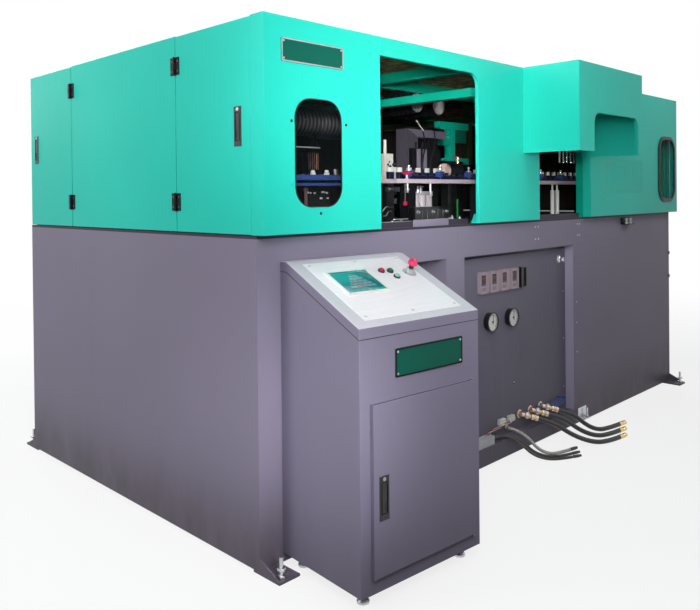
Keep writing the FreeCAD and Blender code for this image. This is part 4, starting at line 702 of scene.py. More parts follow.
class Shape:
    """A mesh in the making, in millimetres, shaped with mesh operators."""

    def __init__(self) -> None:
        """Starts an empty mesh."""
        self.mesh = bmesh.new()

    def bevel(self, edges: Iterable[bmesh.types.BMEdge], width: float, segments: int) -> None:
        """Rounds some edges."""
        bmesh.ops.bevel(self.mesh, geom=list(edges), offset=width, offset_type="OFFSET", segments=segments,
                        profile=0.5, affect="EDGES", material=-1, clamp_overlap=True)

    def soften(self, verts: Iterable[bmesh.types.BMVert], width: float, segments: int = 2) -> None:
        """Rounds every edge at some points."""
        self.bevel({edge for vert in verts for edge in vert.link_edges}, width, segments)

    def box(self, low: Point, high: Point, bevel: float = 0.0, segments: int = 2) -> "Shape":
        """Adds a block with its edges rounded.

        Args:
            low: its corner with the lowest coordinates.
            high: the opposite corner.
            bevel: rounding of its edges.
            segments: faces across each rounding.

        Returns:
            The shape itself.
        """
        made = bmesh.ops.create_cube(self.mesh, size=1.0)["verts"]
        span = [b - a for a, b in zip(low, high)]
        middle = [(a + b) / 2 for a, b in zip(low, high)]
        bmesh.ops.scale(self.mesh, vec=span, verts=made)
        bmesh.ops.translate(self.mesh, vec=middle, verts=made)
        if bevel:
            self.soften(made, bevel, segments)
        return self

    def drum(self, centre: Point, radius: float, length: float, axis: Axis = Axis.Z, sides: int = 32,
             bevel: float = 0.0) -> "Shape":
        """Adds a cylinder that starts at centre and runs along an axis.

        Args:
            centre: the middle of its first end.
            radius: its radius.
            length: its length.
            axis: the way it stands.
            sides: faces round it; 6 makes a hexagon.
            bevel: rounding of both rims.

        Returns:
            The shape itself.
        """
        made = bmesh.ops.create_cone(self.mesh, cap_ends=True, segments=sides, radius1=radius, radius2=radius,
                                     depth=length)["verts"]
        bmesh.ops.translate(self.mesh, vec=(0, 0, length / 2), verts=made)
        turn = {Axis.X: Matrix.Rotation(math.pi / 2, 3, "Y"), Axis.Y: Matrix.Rotation(-math.pi / 2, 3, "X"),
                Axis.Z: Matrix.Identity(3)}[axis]
        bmesh.ops.rotate(self.mesh, cent=(0, 0, 0), matrix=turn, verts=made)
        bmesh.ops.translate(self.mesh, vec=centre, verts=made)
        if bevel:
            rims = {edge for vert in made for edge in vert.link_edges
                    if any(len(face.verts) > 4 for face in edge.link_faces)}
            self.bevel(rims, bevel, 2)
        return self

    def turned(self, profile: Sequence[Spot], centre: Point, axis: Point = UP, steps: int = 32) -> "Shape":
        """Spins a half profile about an axis; one that starts off the axis closes itself.

        Args:
            profile: its points, as radius and height.
            centre: where the height is 0.
            axis: the way that the height points.
            steps: faces round it.

        Returns:
            The shape itself.
        """
        fresh = bmesh.new()
        closed = [*profile, profile[0]] if profile[0][0] else profile
        verts = [fresh.verts.new((radius, 0, height)) for radius, height in closed]
        edges = [fresh.edges.new(pair) for pair in zip(verts, verts[1:])]
        bmesh.ops.spin(fresh, geom=verts + edges, cent=(0, 0, 0), axis=(0, 0, 1), angle=2 * math.pi,
                       steps=steps, use_merge=True, use_duplicate=False)
        bmesh.ops.remove_doubles(fresh, verts=fresh.verts[:], dist=1e-4)
        bmesh.ops.recalc_face_normals(fresh, faces=fresh.faces[:])
        turn = Vector((0, 0, 1)).rotation_difference(Vector(axis)).to_matrix()
        bmesh.ops.rotate(fresh, cent=(0, 0, 0), matrix=turn, verts=fresh.verts[:])
        bmesh.ops.translate(fresh, vec=centre, verts=fresh.verts[:])
        return self.take(fresh)

    def each(self, places: Iterable[Point], profile: Sequence[Spot], axis: Point = UP,
             steps: int = 20) -> "Shape":
        """Spins the same half profile at several places."""
        for place in places:
            self.turned(profile, place, axis, steps)
        return self

    def take(self, other: bmesh.types.BMesh) -> "Shape":
        """Adds another mesh to this one.

        Args:
            other: the mesh, which is freed.

        Returns:
            The shape itself.
        """
        carrier = bpy.data.meshes.new("carrier")
        other.to_mesh(carrier)
        other.free()
        self.mesh.from_mesh(carrier)
        bpy.data.meshes.remove(carrier)
        return self

    def plate(self, outline: Sequence[Spot], low: float, high: float, hole: Sequence[Spot] | None = None,
              bevel: float = 0.0) -> "Shape":
        """Adds a plate that stands in X and Z.

        Args:
            outline: its corners.
            low: its face with the lower Y.
            high: its other face.
            hole: the corners of a hole, as many as the outline's.
            bevel: rounding of its rims.

        Returns:
            The shape itself.
        """
        fresh = bmesh.new()
        ring = [fresh.verts.new((x, low, z)) for x, z in outline]
        if hole is None:
            faces = [fresh.faces.new(ring)]
        else:
            inner = [fresh.verts.new((x, low, z)) for x, z in hole]
            loops = [fresh.edges.new((a, b)) for a, b in zip(ring, ring[1:] + ring[:1])]
            loops += [fresh.edges.new((a, b)) for a, b in zip(inner, inner[1:] + inner[:1])]
            faces = bmesh.ops.bridge_loops(fresh, edges=loops)["faces"]
        grown = bmesh.ops.extrude_face_region(fresh, geom=faces)
        moved = [item for item in grown["geom"] if isinstance(item, bmesh.types.BMVert)]
        bmesh.ops.translate(fresh, vec=(0, high - low, 0), verts=moved)
        bmesh.ops.recalc_face_normals(fresh, faces=fresh.faces[:])
        if bevel:
            rims = [edge for edge in fresh.edges if edge.calc_face_angle(0) > 1.0]
            bmesh.ops.bevel(fresh, geom=rims, offset=bevel, offset_type="OFFSET", segments=2, profile=0.5,
                            affect="EDGES", material=-1)
        return self.take(fresh)

    def finish(self, name: str, look: Finish, body: Body = Body.MACHINE, place: Matrix = MACHINE,
               slot: str | None = None, sharp: float = 35.0) -> bpy.types.Object:
        """Makes the object, with its place in its mesh, and sets it on a body.

        Args:
            name: the piece's name.
            look: its finish.
            body: the body that carries it.
            place: the frame that its millimetres are in.
            slot: the record's material slot that it belongs to; not used.
            sharp: edges that turn by more than this angle stay sharp.

        Returns:
            The finished object.
        """
        data = bpy.data.meshes.new(name)
        self.mesh.to_mesh(data)
        self.mesh.free()
        data.transform(place)
        data.shade_smooth()
        data.set_sharp_from_angle(angle=math.radians(sharp))
        data.materials.append(look.material())
        piece = bpy.data.objects.new(name, data)
        return settle(piece, body)


def settle(piece: bpy.types.Object, body: Body = Body.MACHINE) -> bpy.types.Object:
    """Links a piece, sets it on its body and reports it.

    Args:
        piece: the finished object.
        body: the body that carries it.

    Returns:
        The same object.
    """
    bpy.context.scene.collection.objects.link(piece)
    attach(piece, body.value)
    LOG.info("piece %s rides on %s", piece.name, body.value)
    return piece


def oval(low: Spot, high: Spot, radius: float, steps: int = 10, grow: float = 0.0) -> list[Spot]:
    """The points of a rounded rectangle, anticlockwise from its lower right corner.

    Args:
        low: its lower left corner.
        high: its upper right corner.
        radius: its corners' radius.
        steps: pieces in each corner's arc.
        grow: how far its sides lie outside the two corners.

    Returns:
        The points.
    """
    points = []
    (x0, z0), (x1, z1) = (low[0] - grow, low[1] - grow), (high[0] + grow, high[1] + grow)
    for cx, cz, start in ((x1 - radius, z0 + radius, -90), (x1 - radius, z1 - radius, 0),
                          (x0 + radius, z1 - radius, 90), (x0 + radius, z0 + radius, 180)):
        for step in range(steps + 1):
            angle = math.radians(start + 90 * step / steps)
            points.append((cx + radius * math.cos(angle), cz + radius * math.sin(angle)))
    return points


def stack(*drums: Spot, gap: float = 1.0) -> list[Spot]:
    """The half profile of a stack of drums, each with its radius and top, with a short cone between two."""
    points = [(0, 0), (drums[0][0], 0)]
    for (radius, top), (above, _) in zip(drums, drums[1:]):
        points += [(radius, top), (above, top + gap)]
    return [*points, drums[-1], (0, drums[-1][1])]


def around(x: float, y: float, radius: float, count: int, start: float = 0.0) -> list[Spot]:
    """Points evenly spaced on a circle, from a starting angle in degrees."""
    angles = [math.radians(start + 360 / count * number) for number in range(count)]
    return [(x + radius * math.cos(angle), y + radius * math.sin(angle)) for angle in angles]


def corners(low: Spot, high: Spot, inset: float, depth: float) -> list[Point]:
    """The four places inside a plate's corners, at a depth in Y."""
    return list(product((low[0] + inset, high[0] - inset), (depth,), (low[1] + inset, high[1] - inset)))


def unwrap(piece: bpy.types.Object, place: Matrix, low: Spot, high: Spot, axes: tuple[int, int]) -> None:
    """Gives a flat piece its own map: 0 to 1 between two corners in its own frame.

    Args:
        piece: the finished piece.
        place: the frame that the corners are in.
        low: the corner that maps to 0, 0.
        high: the corner that maps to 1, 1.
        axes: which two of the frame's axes the map follows.
    """
    back = place.inverted()
    layer = piece.data.uv_layers.new(name="face")
    for loop in piece.data.loops:
        point = back @ piece.data.vertices[loop.vertex_index].co
        layer.data[loop.index].uv = [(point[axis] - a) / (b - a) for axis, a, b in zip(axes, low, high)]


def dress(node: str, look: Finish, *others: tuple[Finish, FaceTest]) -> None:
    """Gives a CAD node its finish.

    Args:
        node: the node's name.
        look: the finish of every face that no test takes.
        others: further finishes, each with a test on a face's centre and normal, in metres.
    """
    piece = frame["nodes"][node]
    mesh = piece.data
    mesh.materials.clear()
    for finish in (look, *(other for other, _ in others)):
        mesh.materials.append(finish.material())
    for face in mesh.polygons:
        index = 0
        for number, (_, test) in enumerate(others, start=1):
            if test(face.center, face.normal):
                index = number
        face.material_index = index
    LOG.info("node %s dressed in %s", node, look.name)


def metres(x: float, y: float, z: float) -> Point:
    """A machine point in the row's frame."""
    return tuple(MACHINE @ Vector((x, y, z)))


def screws(name: str, heads: Iterable[Point], radius: float, look: Finish, body: Body = Body.MACHINE,
           out: Point = FORWARD, place: Matrix = MACHINE, rise: float = 2.2) -> bpy.types.Object:
    """A set of button head screws with hexagon sockets, in one piece.

    Args:
        name: the set's name.
        heads: where each head meets its sheet.
        radius: the heads' radius.
        look: their finish.
        body: the body that carries them.
        out: the way that they face.
        place: the frame of the points.
        rise: how far a head stands out.

    Returns:
        The finished piece.
    """
    profile = [(0, rise * 0.35), (radius * 0.42, rise * 0.35), (radius * 0.46, rise),
               (radius * 0.72, rise * 0.92), (radius * 0.95, rise * 0.5), (radius, 0), (0, 0)]
    return Shape().each(heads, profile, out, 12).finish(name, look, body, place, sharp=50)


def tube(name: str, points: Sequence[Point], radius: float, order: int, smooth: int,
         round_steps: int) -> bpy.types.Curve:
    """A round tube that bends smoothly past its control points.

    Args:
        name: the curve's name, before its ending.
        points: the control points.
        radius: half the tube's thickness.
        order: the curve's order.
        smooth: steps between two control points.
        round_steps: how finely the tube is rounded.

    Returns:
        The curve.
    """
    curve = bpy.data.curves.new(name + "_line", "CURVE")
    curve.dimensions = "3D"
    spline = curve.splines.new("NURBS")
    spline.points.add(len(points) - 1)
    for spot, point in zip(spline.points, points):
        spot.co = (*point, 1.0)
    spline.order_u = order
    spline.use_endpoint_u = True
    spline.resolution_u = smooth
    curve.bevel_depth = radius
    curve.bevel_resolution = round_steps
    curve.use_fill_caps = True
    return curve


def bent_rod(name: str, points: Sequence[Point], radius: float, look: Finish, body: Body = Body.MACHINE,
             place: Matrix = MACHINE) -> bpy.types.Object:
    """A fixed wire, tube or rod that bends smoothly past its points.

    Args:
        name: the piece's name.
        points: its control points.
        radius: half its thickness.
        look: its finish.
        body: the body that carries it.
        place: the frame of the points.

    Returns:
        The finished piece, as a mesh.
    """
    curve = tube(name, points, radius, order=min(4, len(points)), smooth=6, round_steps=2)
    holder = bpy.data.objects.new(name + "_holder", curve)
    data = bpy.data.meshes.new_from_object(holder)
    bpy.data.objects.remove(holder)
    bpy.data.curves.remove(curve)
    data.name = name
    data.transform(place)
    data.shade_smooth()
    data.materials.clear()
    data.materials.append(look.material())
    return settle(bpy.data.objects.new(name, data), body)


# ---------------------------------------------------------------- studio


@dataclass
class Studio:
    """The camera at the photograph's angle, a pale floor and soft lamps."""

    place: Point = (-3.8507, -3.3491, 1.4877)
    heading: float = 45.508
    dip: float = 0.442
    roll: float = -0.565
    lens: float = 37.972
    shift: float = -0.1488
    lamps: tuple[tuple[str, Point, Point, float, float, float], ...] = (
        ("key", (-3.1, -2.9, 2.5), (-1.5, -0.8, 1.5), 1.2, 33.0, 180.0),
        ("flash", (-3.75, -3.45, 1.85), (-0.5, -0.7, 1.92), 0.5, 6.0, 34.0),
        ("low_front", (-2.9, -3.3, 1.2), (-2.1, -1.06, 0.6), 0.4, 1.6, 34.0),
        ("console_fill", (-2.6, -3.6, 1.6), (-1.0, -1.5, 0.85), 0.5, 1.3, 50.0),
        ("left_side", (-5.4, 0.9, 3.2), (-2.05, 0.3, 2.1), 2.0, 92.0, 180.0),
        ("front_high", (-0.6, -4.4, 3.6), (0.5, -1.1, 2.1), 1.6, 20.0, 180.0),
        ("overhead", (-1.5, -1.6, 5.2), (-1.2, -1.0, 1.0), 3.0, 50.0, 180.0),
        ("far_front", (2.4, -2.8, 3.3), (1.2, -1.1, 2.0), 1.0, 4.2, 90.0),
        ("right_side", (6.2, 2.6, 3.6), (2.0, 0.4, 1.2), 2.6, 130.0, 180.0),
        ("rear", (-1.4, 6.2, 3.8), (0.0, 1.0, 1.2), 3.4, 210.0, 180.0),
    )

    def build(self) -> None:
        """Sets up everything that isn't part of the machine."""
        self.camera()
        self.floor()
        self.world()
        for name, place, aim, size, power, spread in self.lamps:
            self.lamp(name, place, aim, size, power, spread)
        bpy.context.scene.view_settings.view_transform = "Standard"

    def camera(self) -> None:
        """Makes the camera from its heading, dip and roll."""
        yaw, pitch, roll = (math.radians(v) for v in (self.heading, self.dip, self.roll))
        ahead = Vector((math.sin(yaw) * math.cos(pitch), math.cos(yaw) * math.cos(pitch), -math.sin(pitch)))
        level = Vector((math.cos(yaw), -math.sin(yaw), 0))
        above = level.cross(ahead)
        right = level * math.cos(roll) + above * math.sin(roll)
        up = above * math.cos(roll) - level * math.sin(roll)
        data = bpy.data.cameras.new("view")
        data.sensor_width = 36.0
        data.sensor_fit = "HORIZONTAL"
        data.lens = self.lens
        data.shift_y = self.shift
        data.clip_start = 0.05
        data.clip_end = 200.0
        eye = bpy.data.objects.new("view", data)
        turn = Matrix((right, up, -ahead)).transposed().to_4x4()
        eye.matrix_world = Matrix.Translation(self.place) @ turn
        bpy.context.scene.collection.objects.link(eye)
        bpy.context.scene.camera = eye
        LOG.info("camera set")

    def lamp(self, name: str, place: Point, aim: Point, size: float, power: float, spread: float) -> None:
        """Makes one soft square lamp.

        Args:
            name: the lamp's name.
            place: where it hangs, in metres.
            aim: the place it points at.
            size: its side, in metres.
            power: its power, in watts.
            spread: the angle of its beam, in degrees.
        """
        data = bpy.data.lights.new(name, "AREA")
        data.shape = "SQUARE"
        data.size = size
        data.energy = power
        data.spread = math.radians(spread)
        item = bpy.data.objects.new(name, data)
        item.location = place
        item.rotation_euler = (Vector(aim) - Vector(place)).to_track_quat("-Z", "Y").to_euler()
        item.visible_camera = False
        bpy.context.scene.collection.objects.link(item)

    def seen(self, graph: Graph) -> Wire:
        """1 for rays that reach the eye directly, by reflection or through glass."""
        camera, glossy, through = (graph.add("ShaderNodeLightPath", output=f"Is {kind} Ray")
                                   for kind in ("Camera", "Glossy", "Transmission"))
        return camera.most(glossy).most(through)

    def floor(self) -> None:
        """Makes the pale floor, which keeps the machine's shadow."""
        shape = bmesh.new()
        bmesh.ops.create_grid(shape, x_segments=1, y_segments=1, size=40.0)
        data = bpy.data.meshes.new("floor")
        shape.to_mesh(data)
        shape.free()
        g = Graph("floor")
        seen = self.seen(g)
        x, y, _ = g.parts(g.place())
        share = 0.80 + (x * x + y * y).root().eased(3.0, 8.0) * 0.20
        shade = g.blend(seen, (0.10, 0.10, 0.10), (0.95, 0.95, 0.96))
        matt = g.add("ShaderNodeBsdfDiffuse", None, {"Color": shade})
        white = g.add("ShaderNodeEmission", None, {"Color": (1.0, 1.0, 1.0, 1.0), "Strength": 1.0})
        mixed = g.add("ShaderNodeMixShader", None, {0: seen * share, 1: matt, 2: white})
        g.add_output(mixed)
        data.materials.append(g.material)
        item = bpy.data.objects.new("floor", data)
        bpy.context.scene.collection.objects.link(item)

    def world(self) -> None:
        """Makes a white surround that lights the machine only softly."""
        world = bpy.data.worlds.new("surround")
        world.use_nodes = True
        tree = world.node_tree
        tree.nodes.clear()
        g = Graph("spare")
        bpy.data.materials.remove(g.material)
        g.tree = tree
        soft = g.add("ShaderNodeBackground", None, {"Color": (0.94, 0.95, 1.0, 1.0), "Strength": 0.05})
        white = g.add("ShaderNodeBackground", None, {"Color": (1.0, 1.0, 1.0, 1.0), "Strength": 1.0})
        mixed = g.add("ShaderNodeMixShader", None, {0: self.seen(g), 1: soft, 2: white})
        end = tree.nodes.new("ShaderNodeOutputWorld")
        tree.links.new(mixed.socket, end.inputs["Surface"])
        bpy.context.scene.world = world


# ---------------------------------------------------------------- hoses and cables


@dataclass
class HosesAndCables:
    """The supply hoses and control cables that leave the service panel and lie on the floor."""

    hoses: tuple[tuple[str, float, float], ...] = (("supply_hose_left", 1985.0, 0.572),
                                                   ("supply_hose_middle", 2103.0, 0.539),
                                                   ("supply_hose_right", 2221.0, 0.513))
    hose_route: tuple[Point, ...] = ((83, -18, 159.4), (158, -78, 131.6), (232, -132, 54), (308, -172, 16),
                                     (408, -200, 14), (506, -212, 14))
    hose_spread: tuple[float, ...] = (0, 0, 18, 45, 55, 55)
    hose_radius: float = 13.5
    front_cable: tuple[Point, ...] = ((1655, 24, 130), (1714, 24, 130), (1770, -12, 127), (1808, -72, 80),
                                      (1836, -124, 29), (1878, -190, 9), (1942, -244, 9), (2006, -271, 9))
    rear_cable: tuple[Point, ...] = ((1655, 42, 130), (1728, 42, 130), (1794, 2, 128), (1838, -60, 84),
                                     (1868, -112, 31), (1914, -176, 9), (1982, -222, 9), (2052, -243, 9))
    cable_radius: float = 8.0
    sheathed: tuple[Point, ...] = ((1846, 57.5, 142), (1846, -6, 142), (1876, -70, 104), (1908, -112, 40),
                                   (1958, -160, 10), (2030, -192, 10), (2102, -206, 10))
    sheathed_radius: float = 9.0
    fitting_way: Point = (0.75, -0.6, -0.278)
    fitting_height: float = 190.0
    plug_limit: Spot = (2200.0, 24.5)

    def build(self) -> None:
        """Lays the cords, then adds what sits on them."""
        for number, (name, start, length) in enumerate(self.hoses):
            route = [(start + x, y - (2 - number) * spread, z)
                     for (x, y, z), spread in zip(self.hose_route, self.hose_spread)]
            self.cord(name, route, self.hose_radius, length, HOSE_RUBBER)
        for name, route, radius, length, look in (
                ("control_cable_front", self.front_cable, self.cable_radius, 0.516, CABLE_JACKET),
                ("control_cable_rear", self.rear_cable, self.cable_radius, 0.548, CABLE_JACKET),
                ("sheathed_cable", self.sheathed, self.sheathed_radius, 0.448, WHITE_SLEEVE)):
            self.cord(name, route, radius, length, look)
        self.boots()
        self.ferrules()
        self.nuts()
        self.ends()

    def cord(self, node: str, route: Sequence[Point], radius: float, length: float, look: Finish) -> bpy.types.Object:
        """Lays one cord along its route.

        Args:
            node: the CAD node that it replaces.
            route: its points in machine millimetres.
            radius: half its thickness, in millimetres.
            length: its real length in metres; not used.
            look: its finish.

        Returns:
            The cord.
        """
        points = [metres(*point) for point in route]
        curve = tube(node, points, radius / 1000, order=3, smooth=12, round_steps=7)
        curve.materials.append(look.material())
        piece = settle(bpy.data.objects.new(node + "_run", curve))
        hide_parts(node)
        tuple(points[0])
        return piece

    def boots(self) -> None:
        """Makes the tapered rubber boots where the two cables leave the trunking."""
        starts = [(x + 0.6, y, z) for x, y, z in (self.front_cable[0], self.rear_cable[0])]
        profile = [(8.2, -0.4), (13.5, -0.4), (13.5, 3), (11.8, 4), (11.8, 8), (11.0, 9), (10.9, 13),
                   (10.2, 14), (10.0, 19), (9.4, 20), (9.2, 27), (8.2, 28)]
        Shape().each(starts, profile, RIGHT, 28).finish("cable_boots", SEAL_RUBBER)

    def ferrules(self) -> None:
        """Makes the brass and coloured rings where each hose meets its fitting."""
        brass, rings = Shape(), Shape()
        way = Vector(self.fitting_way).normalized()
        for _, start, _ in self.hoses:
            for low, high, radius, target in ((66.5, 78, 17.6, brass), (84, 92, 18.2, rings),
                                              (96, 102, 17.6, brass)):
                target.turned([(15.0, low), (radius - 0.8, low), (radius, low + 1), (radius, high - 1),
                               (radius - 0.8, high), (15.0, high)], tuple(self.fitting(start)),
                              tuple(way), 28)
        brass.finish("hose_ferrules", BRASS, slot="brass")
        rings.finish("hose_rings", WHITE_PLASTIC)

    def fitting(self, start: float) -> Vector:
        """The foot of a hose's fitting in the panel."""
        return Vector((start, PANEL_FACE - 10, self.fitting_height))

    def nuts(self) -> None:
        """Makes the hexagon nut of each hose's fitting."""
        nuts = Shape()
        way = Vector(self.fitting_way).normalized()
        turn = Vector(UP).rotation_difference(way).to_matrix()
        for _, start, _ in self.hoses:
            made = bmesh.ops.create_cone(nuts.mesh, cap_ends=True, segments=6, radius1=21.6, radius2=21.6,
                                         depth=16)["verts"]
            bmesh.ops.rotate(nuts.mesh, cent=(0, 0, 0), matrix=turn, verts=made)
            bmesh.ops.translate(nuts.mesh, vec=self.fitting(start) + way * 38, verts=made)
            nuts.soften(made, 1.2)
        nuts.finish("hose_nuts", ZINC, slot="bright_steel")

    def ends(self) -> None:
        """Dresses the couplings in brass and the cables' plugs in black."""
        limit = metres(self.plug_limit[0], 0, self.plug_limit[1])
        dress("cord_ends", BRASS, (BLACK_PLASTIC, lambda c, n: c.x < limit[0] and c.z < limit[2]))
        dress("hose_fittings", BRONZE)


# ---------------------------------------------------------------- console


@dataclass
class Console:
    """The operator's console: cabinet, sloped lid with its steel plate, screen, buttons and door."""

    width: float = 650.0
    plate_screws: tuple[Spot, ...] = ((82, 436), (325, 438), (566, 436), (82, 62), (325, 60), (566, 62))
    buttons: tuple[Spot, ...] = ((402, 350), (446, 342), (446, 296))
    stop_at: Spot = (540, 318)
    screen_low: Spot = (116.6, 209.6)
    screen_high: Spot = (325.4, 372.4)
    plate_low: Spot = (175, 812)
    plate_high: Spot = (547, 920)
    lid_low: Spot = (1, 973.2)
    lid_high: Spot = (437, 1183.4)
    lock_at: Point = (97, -21.3, 464)

    def build(self) -> None:
        """Dresses the console's nodes and adds its details."""
        back, stop = DESK.inverted(), Vector((*self.stop_at, 0))

        def stop_collar(c: Vector, n: Vector) -> bool:
            """A face of the stop button's collar, which is grey."""
            at = back @ c
            return (at - stop).to_2d().length < 34 and at.z > 3

        for node, look, *others in (
                ("console_cabinet", CONSOLE_PAINT),
                ("console_desk", CONSOLE_PAINT, (LID_STEEL, lambda c, n: n.z > 0.5)),
                ("console_door", CONSOLE_PAINT),
                # The desk plate's near white is partly a painted sheen.
                ("desk_plate", DESK_STEEL_AND_SHEEN),
                ("screen_unit", WHITE_PLASTIC),
                ("button_collars", BLACK_PLASTIC, (GREY_PLASTIC, stop_collar)),
                ("red_button", RED_PLASTIC),
                ("green_button", DARK_GREEN),
                ("start_button", LIGHT_GREEN),
                ("stop_head", PINK_RED),
                ("stop_stem", BLACK_PLASTIC),
                ("console_latch_case", BLACK_PLASTIC),
                ("console_latch_lever", BLACK_PLASTIC)):
            dress(node, look, *others)
        self.screen()
        heads = [(x, y, 1.5) for x, y in self.plate_screws]
        screws("desk_screws", heads, 7.0, ZINC, out=UP, place=DESK, rise=3.0)
        self.button_bezels()
        self.stop_details()
        self.front_plate()
        self.seams()
        self.door_lock()

    def screen(self) -> None:
        """Makes the lit display inside its bezel."""
        (x0, y0), (x1, y1) = self.screen_low, self.screen_high
        glass = Shape().box((x0, y0, 5.6), (x1, y1, 7.4), 0.5)
        unwrap(glass.finish("screen_glass", SCREEN_FACE, place=DESK), DESK, (x0, y0), (x1, y1), (0, 1))
        rim = Shape()
        for xa, ya, xb, yb in ((x0 - 0.4, y0 - 0.4, x1 + 0.4, y0 + 5), (x0 - 0.4, y1 - 5, x1 + 0.4, y1 + 0.4),
                               (x0 - 0.4, y0 + 5, x0 + 6, y1 - 5), (x1 - 6, y0 + 5, x1 + 0.4, y1 - 5)):
            rim.box((xa, ya, 7.3), (xb, yb, 8.1), 0.3, 1)
        rim.finish("screen_surround", WHITE_PLASTIC, place=DESK)

    def button_bezels(self) -> None:
        """Makes the threaded bezels round the buttons, each with its four lugs."""
        bezels = Shape()
        for x, y in self.buttons:
            bezels.turned([(12.2, 6.4), (15.2, 6.4), (15.2, 7.6), (13.6, 9.2), (12.2, 9.2)],
                          (x, y, 0), steps=36)
            for cx, cy in around(x, y, 13.4, 4, 45):
                bezels.box((cx - 1, cy - 1, 7.4), (cx + 1, cy + 1, 8.8), 0.3, 1)
        bezels.finish("button_bezels", BLACK_PLASTIC, place=DESK)

    def stop_details(self) -> None:
        """Makes the ring under the stop button and the three marks on its head."""
        ring = Shape().turned([(24.5, 1.2), (31, 1.2), (31, 2.6), (29.5, 3.4), (24.5, 3.4)],
                              (*self.stop_at, 0.4), steps=40)
        ring.finish("stop_ring", GREY_PLASTIC, place=DESK)
        marks = Shape()
        for x, y in around(*self.stop_at, 11.5, 3, 15):
            marks.box((x - 3.4, y - 0.9, 64.0), (x + 3.4, y + 0.9, 65.0), 0.3, 1)
        marks.finish("stop_marks", WHITE_PLASTIC, Body.STOP_HEAD, DESK)

    def front_plate(self) -> None:
        """Makes the raised rim and the rivets of the bare plate on the console's front."""
        low, high = self.plate_low, self.plate_high
        rim = Shape().plate(oval(low, high, 6, 4, -1), -4.2, -3.0, oval(low, high, 3, 4, -7))
        rim.finish("console_plate_rim", BLACK_PAINT_AND_SHADE, place=CONSOLE)
        screws("console_plate_rivets", corners(low, high, 13, -3.0), 4.4, ZINC, place=CONSOLE)

    def seams(self) -> None:
        """Makes the black lines of painted shadow in the gaps between the lid and the cabinet and along the door's
        top.
        """
        (y0, z0), (y1, z1) = self.lid_low, self.lid_high
        rows = [("seam_front", (1, -0.2, 972.8), (self.width - 1, -0.2, 972.8), Body.MACHINE)]
        for side, x in (("left", -0.2), ("right", self.width + 0.2)):
            rows += [(f"seam_{side}", (x, y0, z0), (x, y1, z1), Body.MACHINE),
                     (f"seam_{side}_top", (x, y1, z1 + 0.2), (x, y1 + 40, z1 + 0.2), Body.MACHINE)]
        rows.append(("door_top_shadow", (49, -17.2, 739.3), (582, -17.2, 739.3), Body.CONSOLE_DOOR))
        for name, start, end, body in rows:
            bent_rod(name, (start, end), 1.3, SEAL_RUBBER, body, CONSOLE)

    def door_lock(self) -> None:
        """Makes the lock barrel on the console's handle, with its key slot."""
        x, y, z = self.lock_at
        profile = [(0, 0.4), (5.0, 0.4), (5.4, 1.6), (6.6, 1.6), (7.2, 0.6), (7.2, -1.0), (0, -1.0), (0, 0.4)]
        lock = Shape().turned(profile, self.lock_at, FORWARD, 28)
        lock.box((x - 0.8, y - 1.3, z - 4), (x + 0.8, y - 0.5, z + 4), 0.2, 1)
        lock.finish("console_lock", ZINC, Body.CONSOLE_DOOR, CONSOLE)


# ---------------------------------------------------------------- service panel


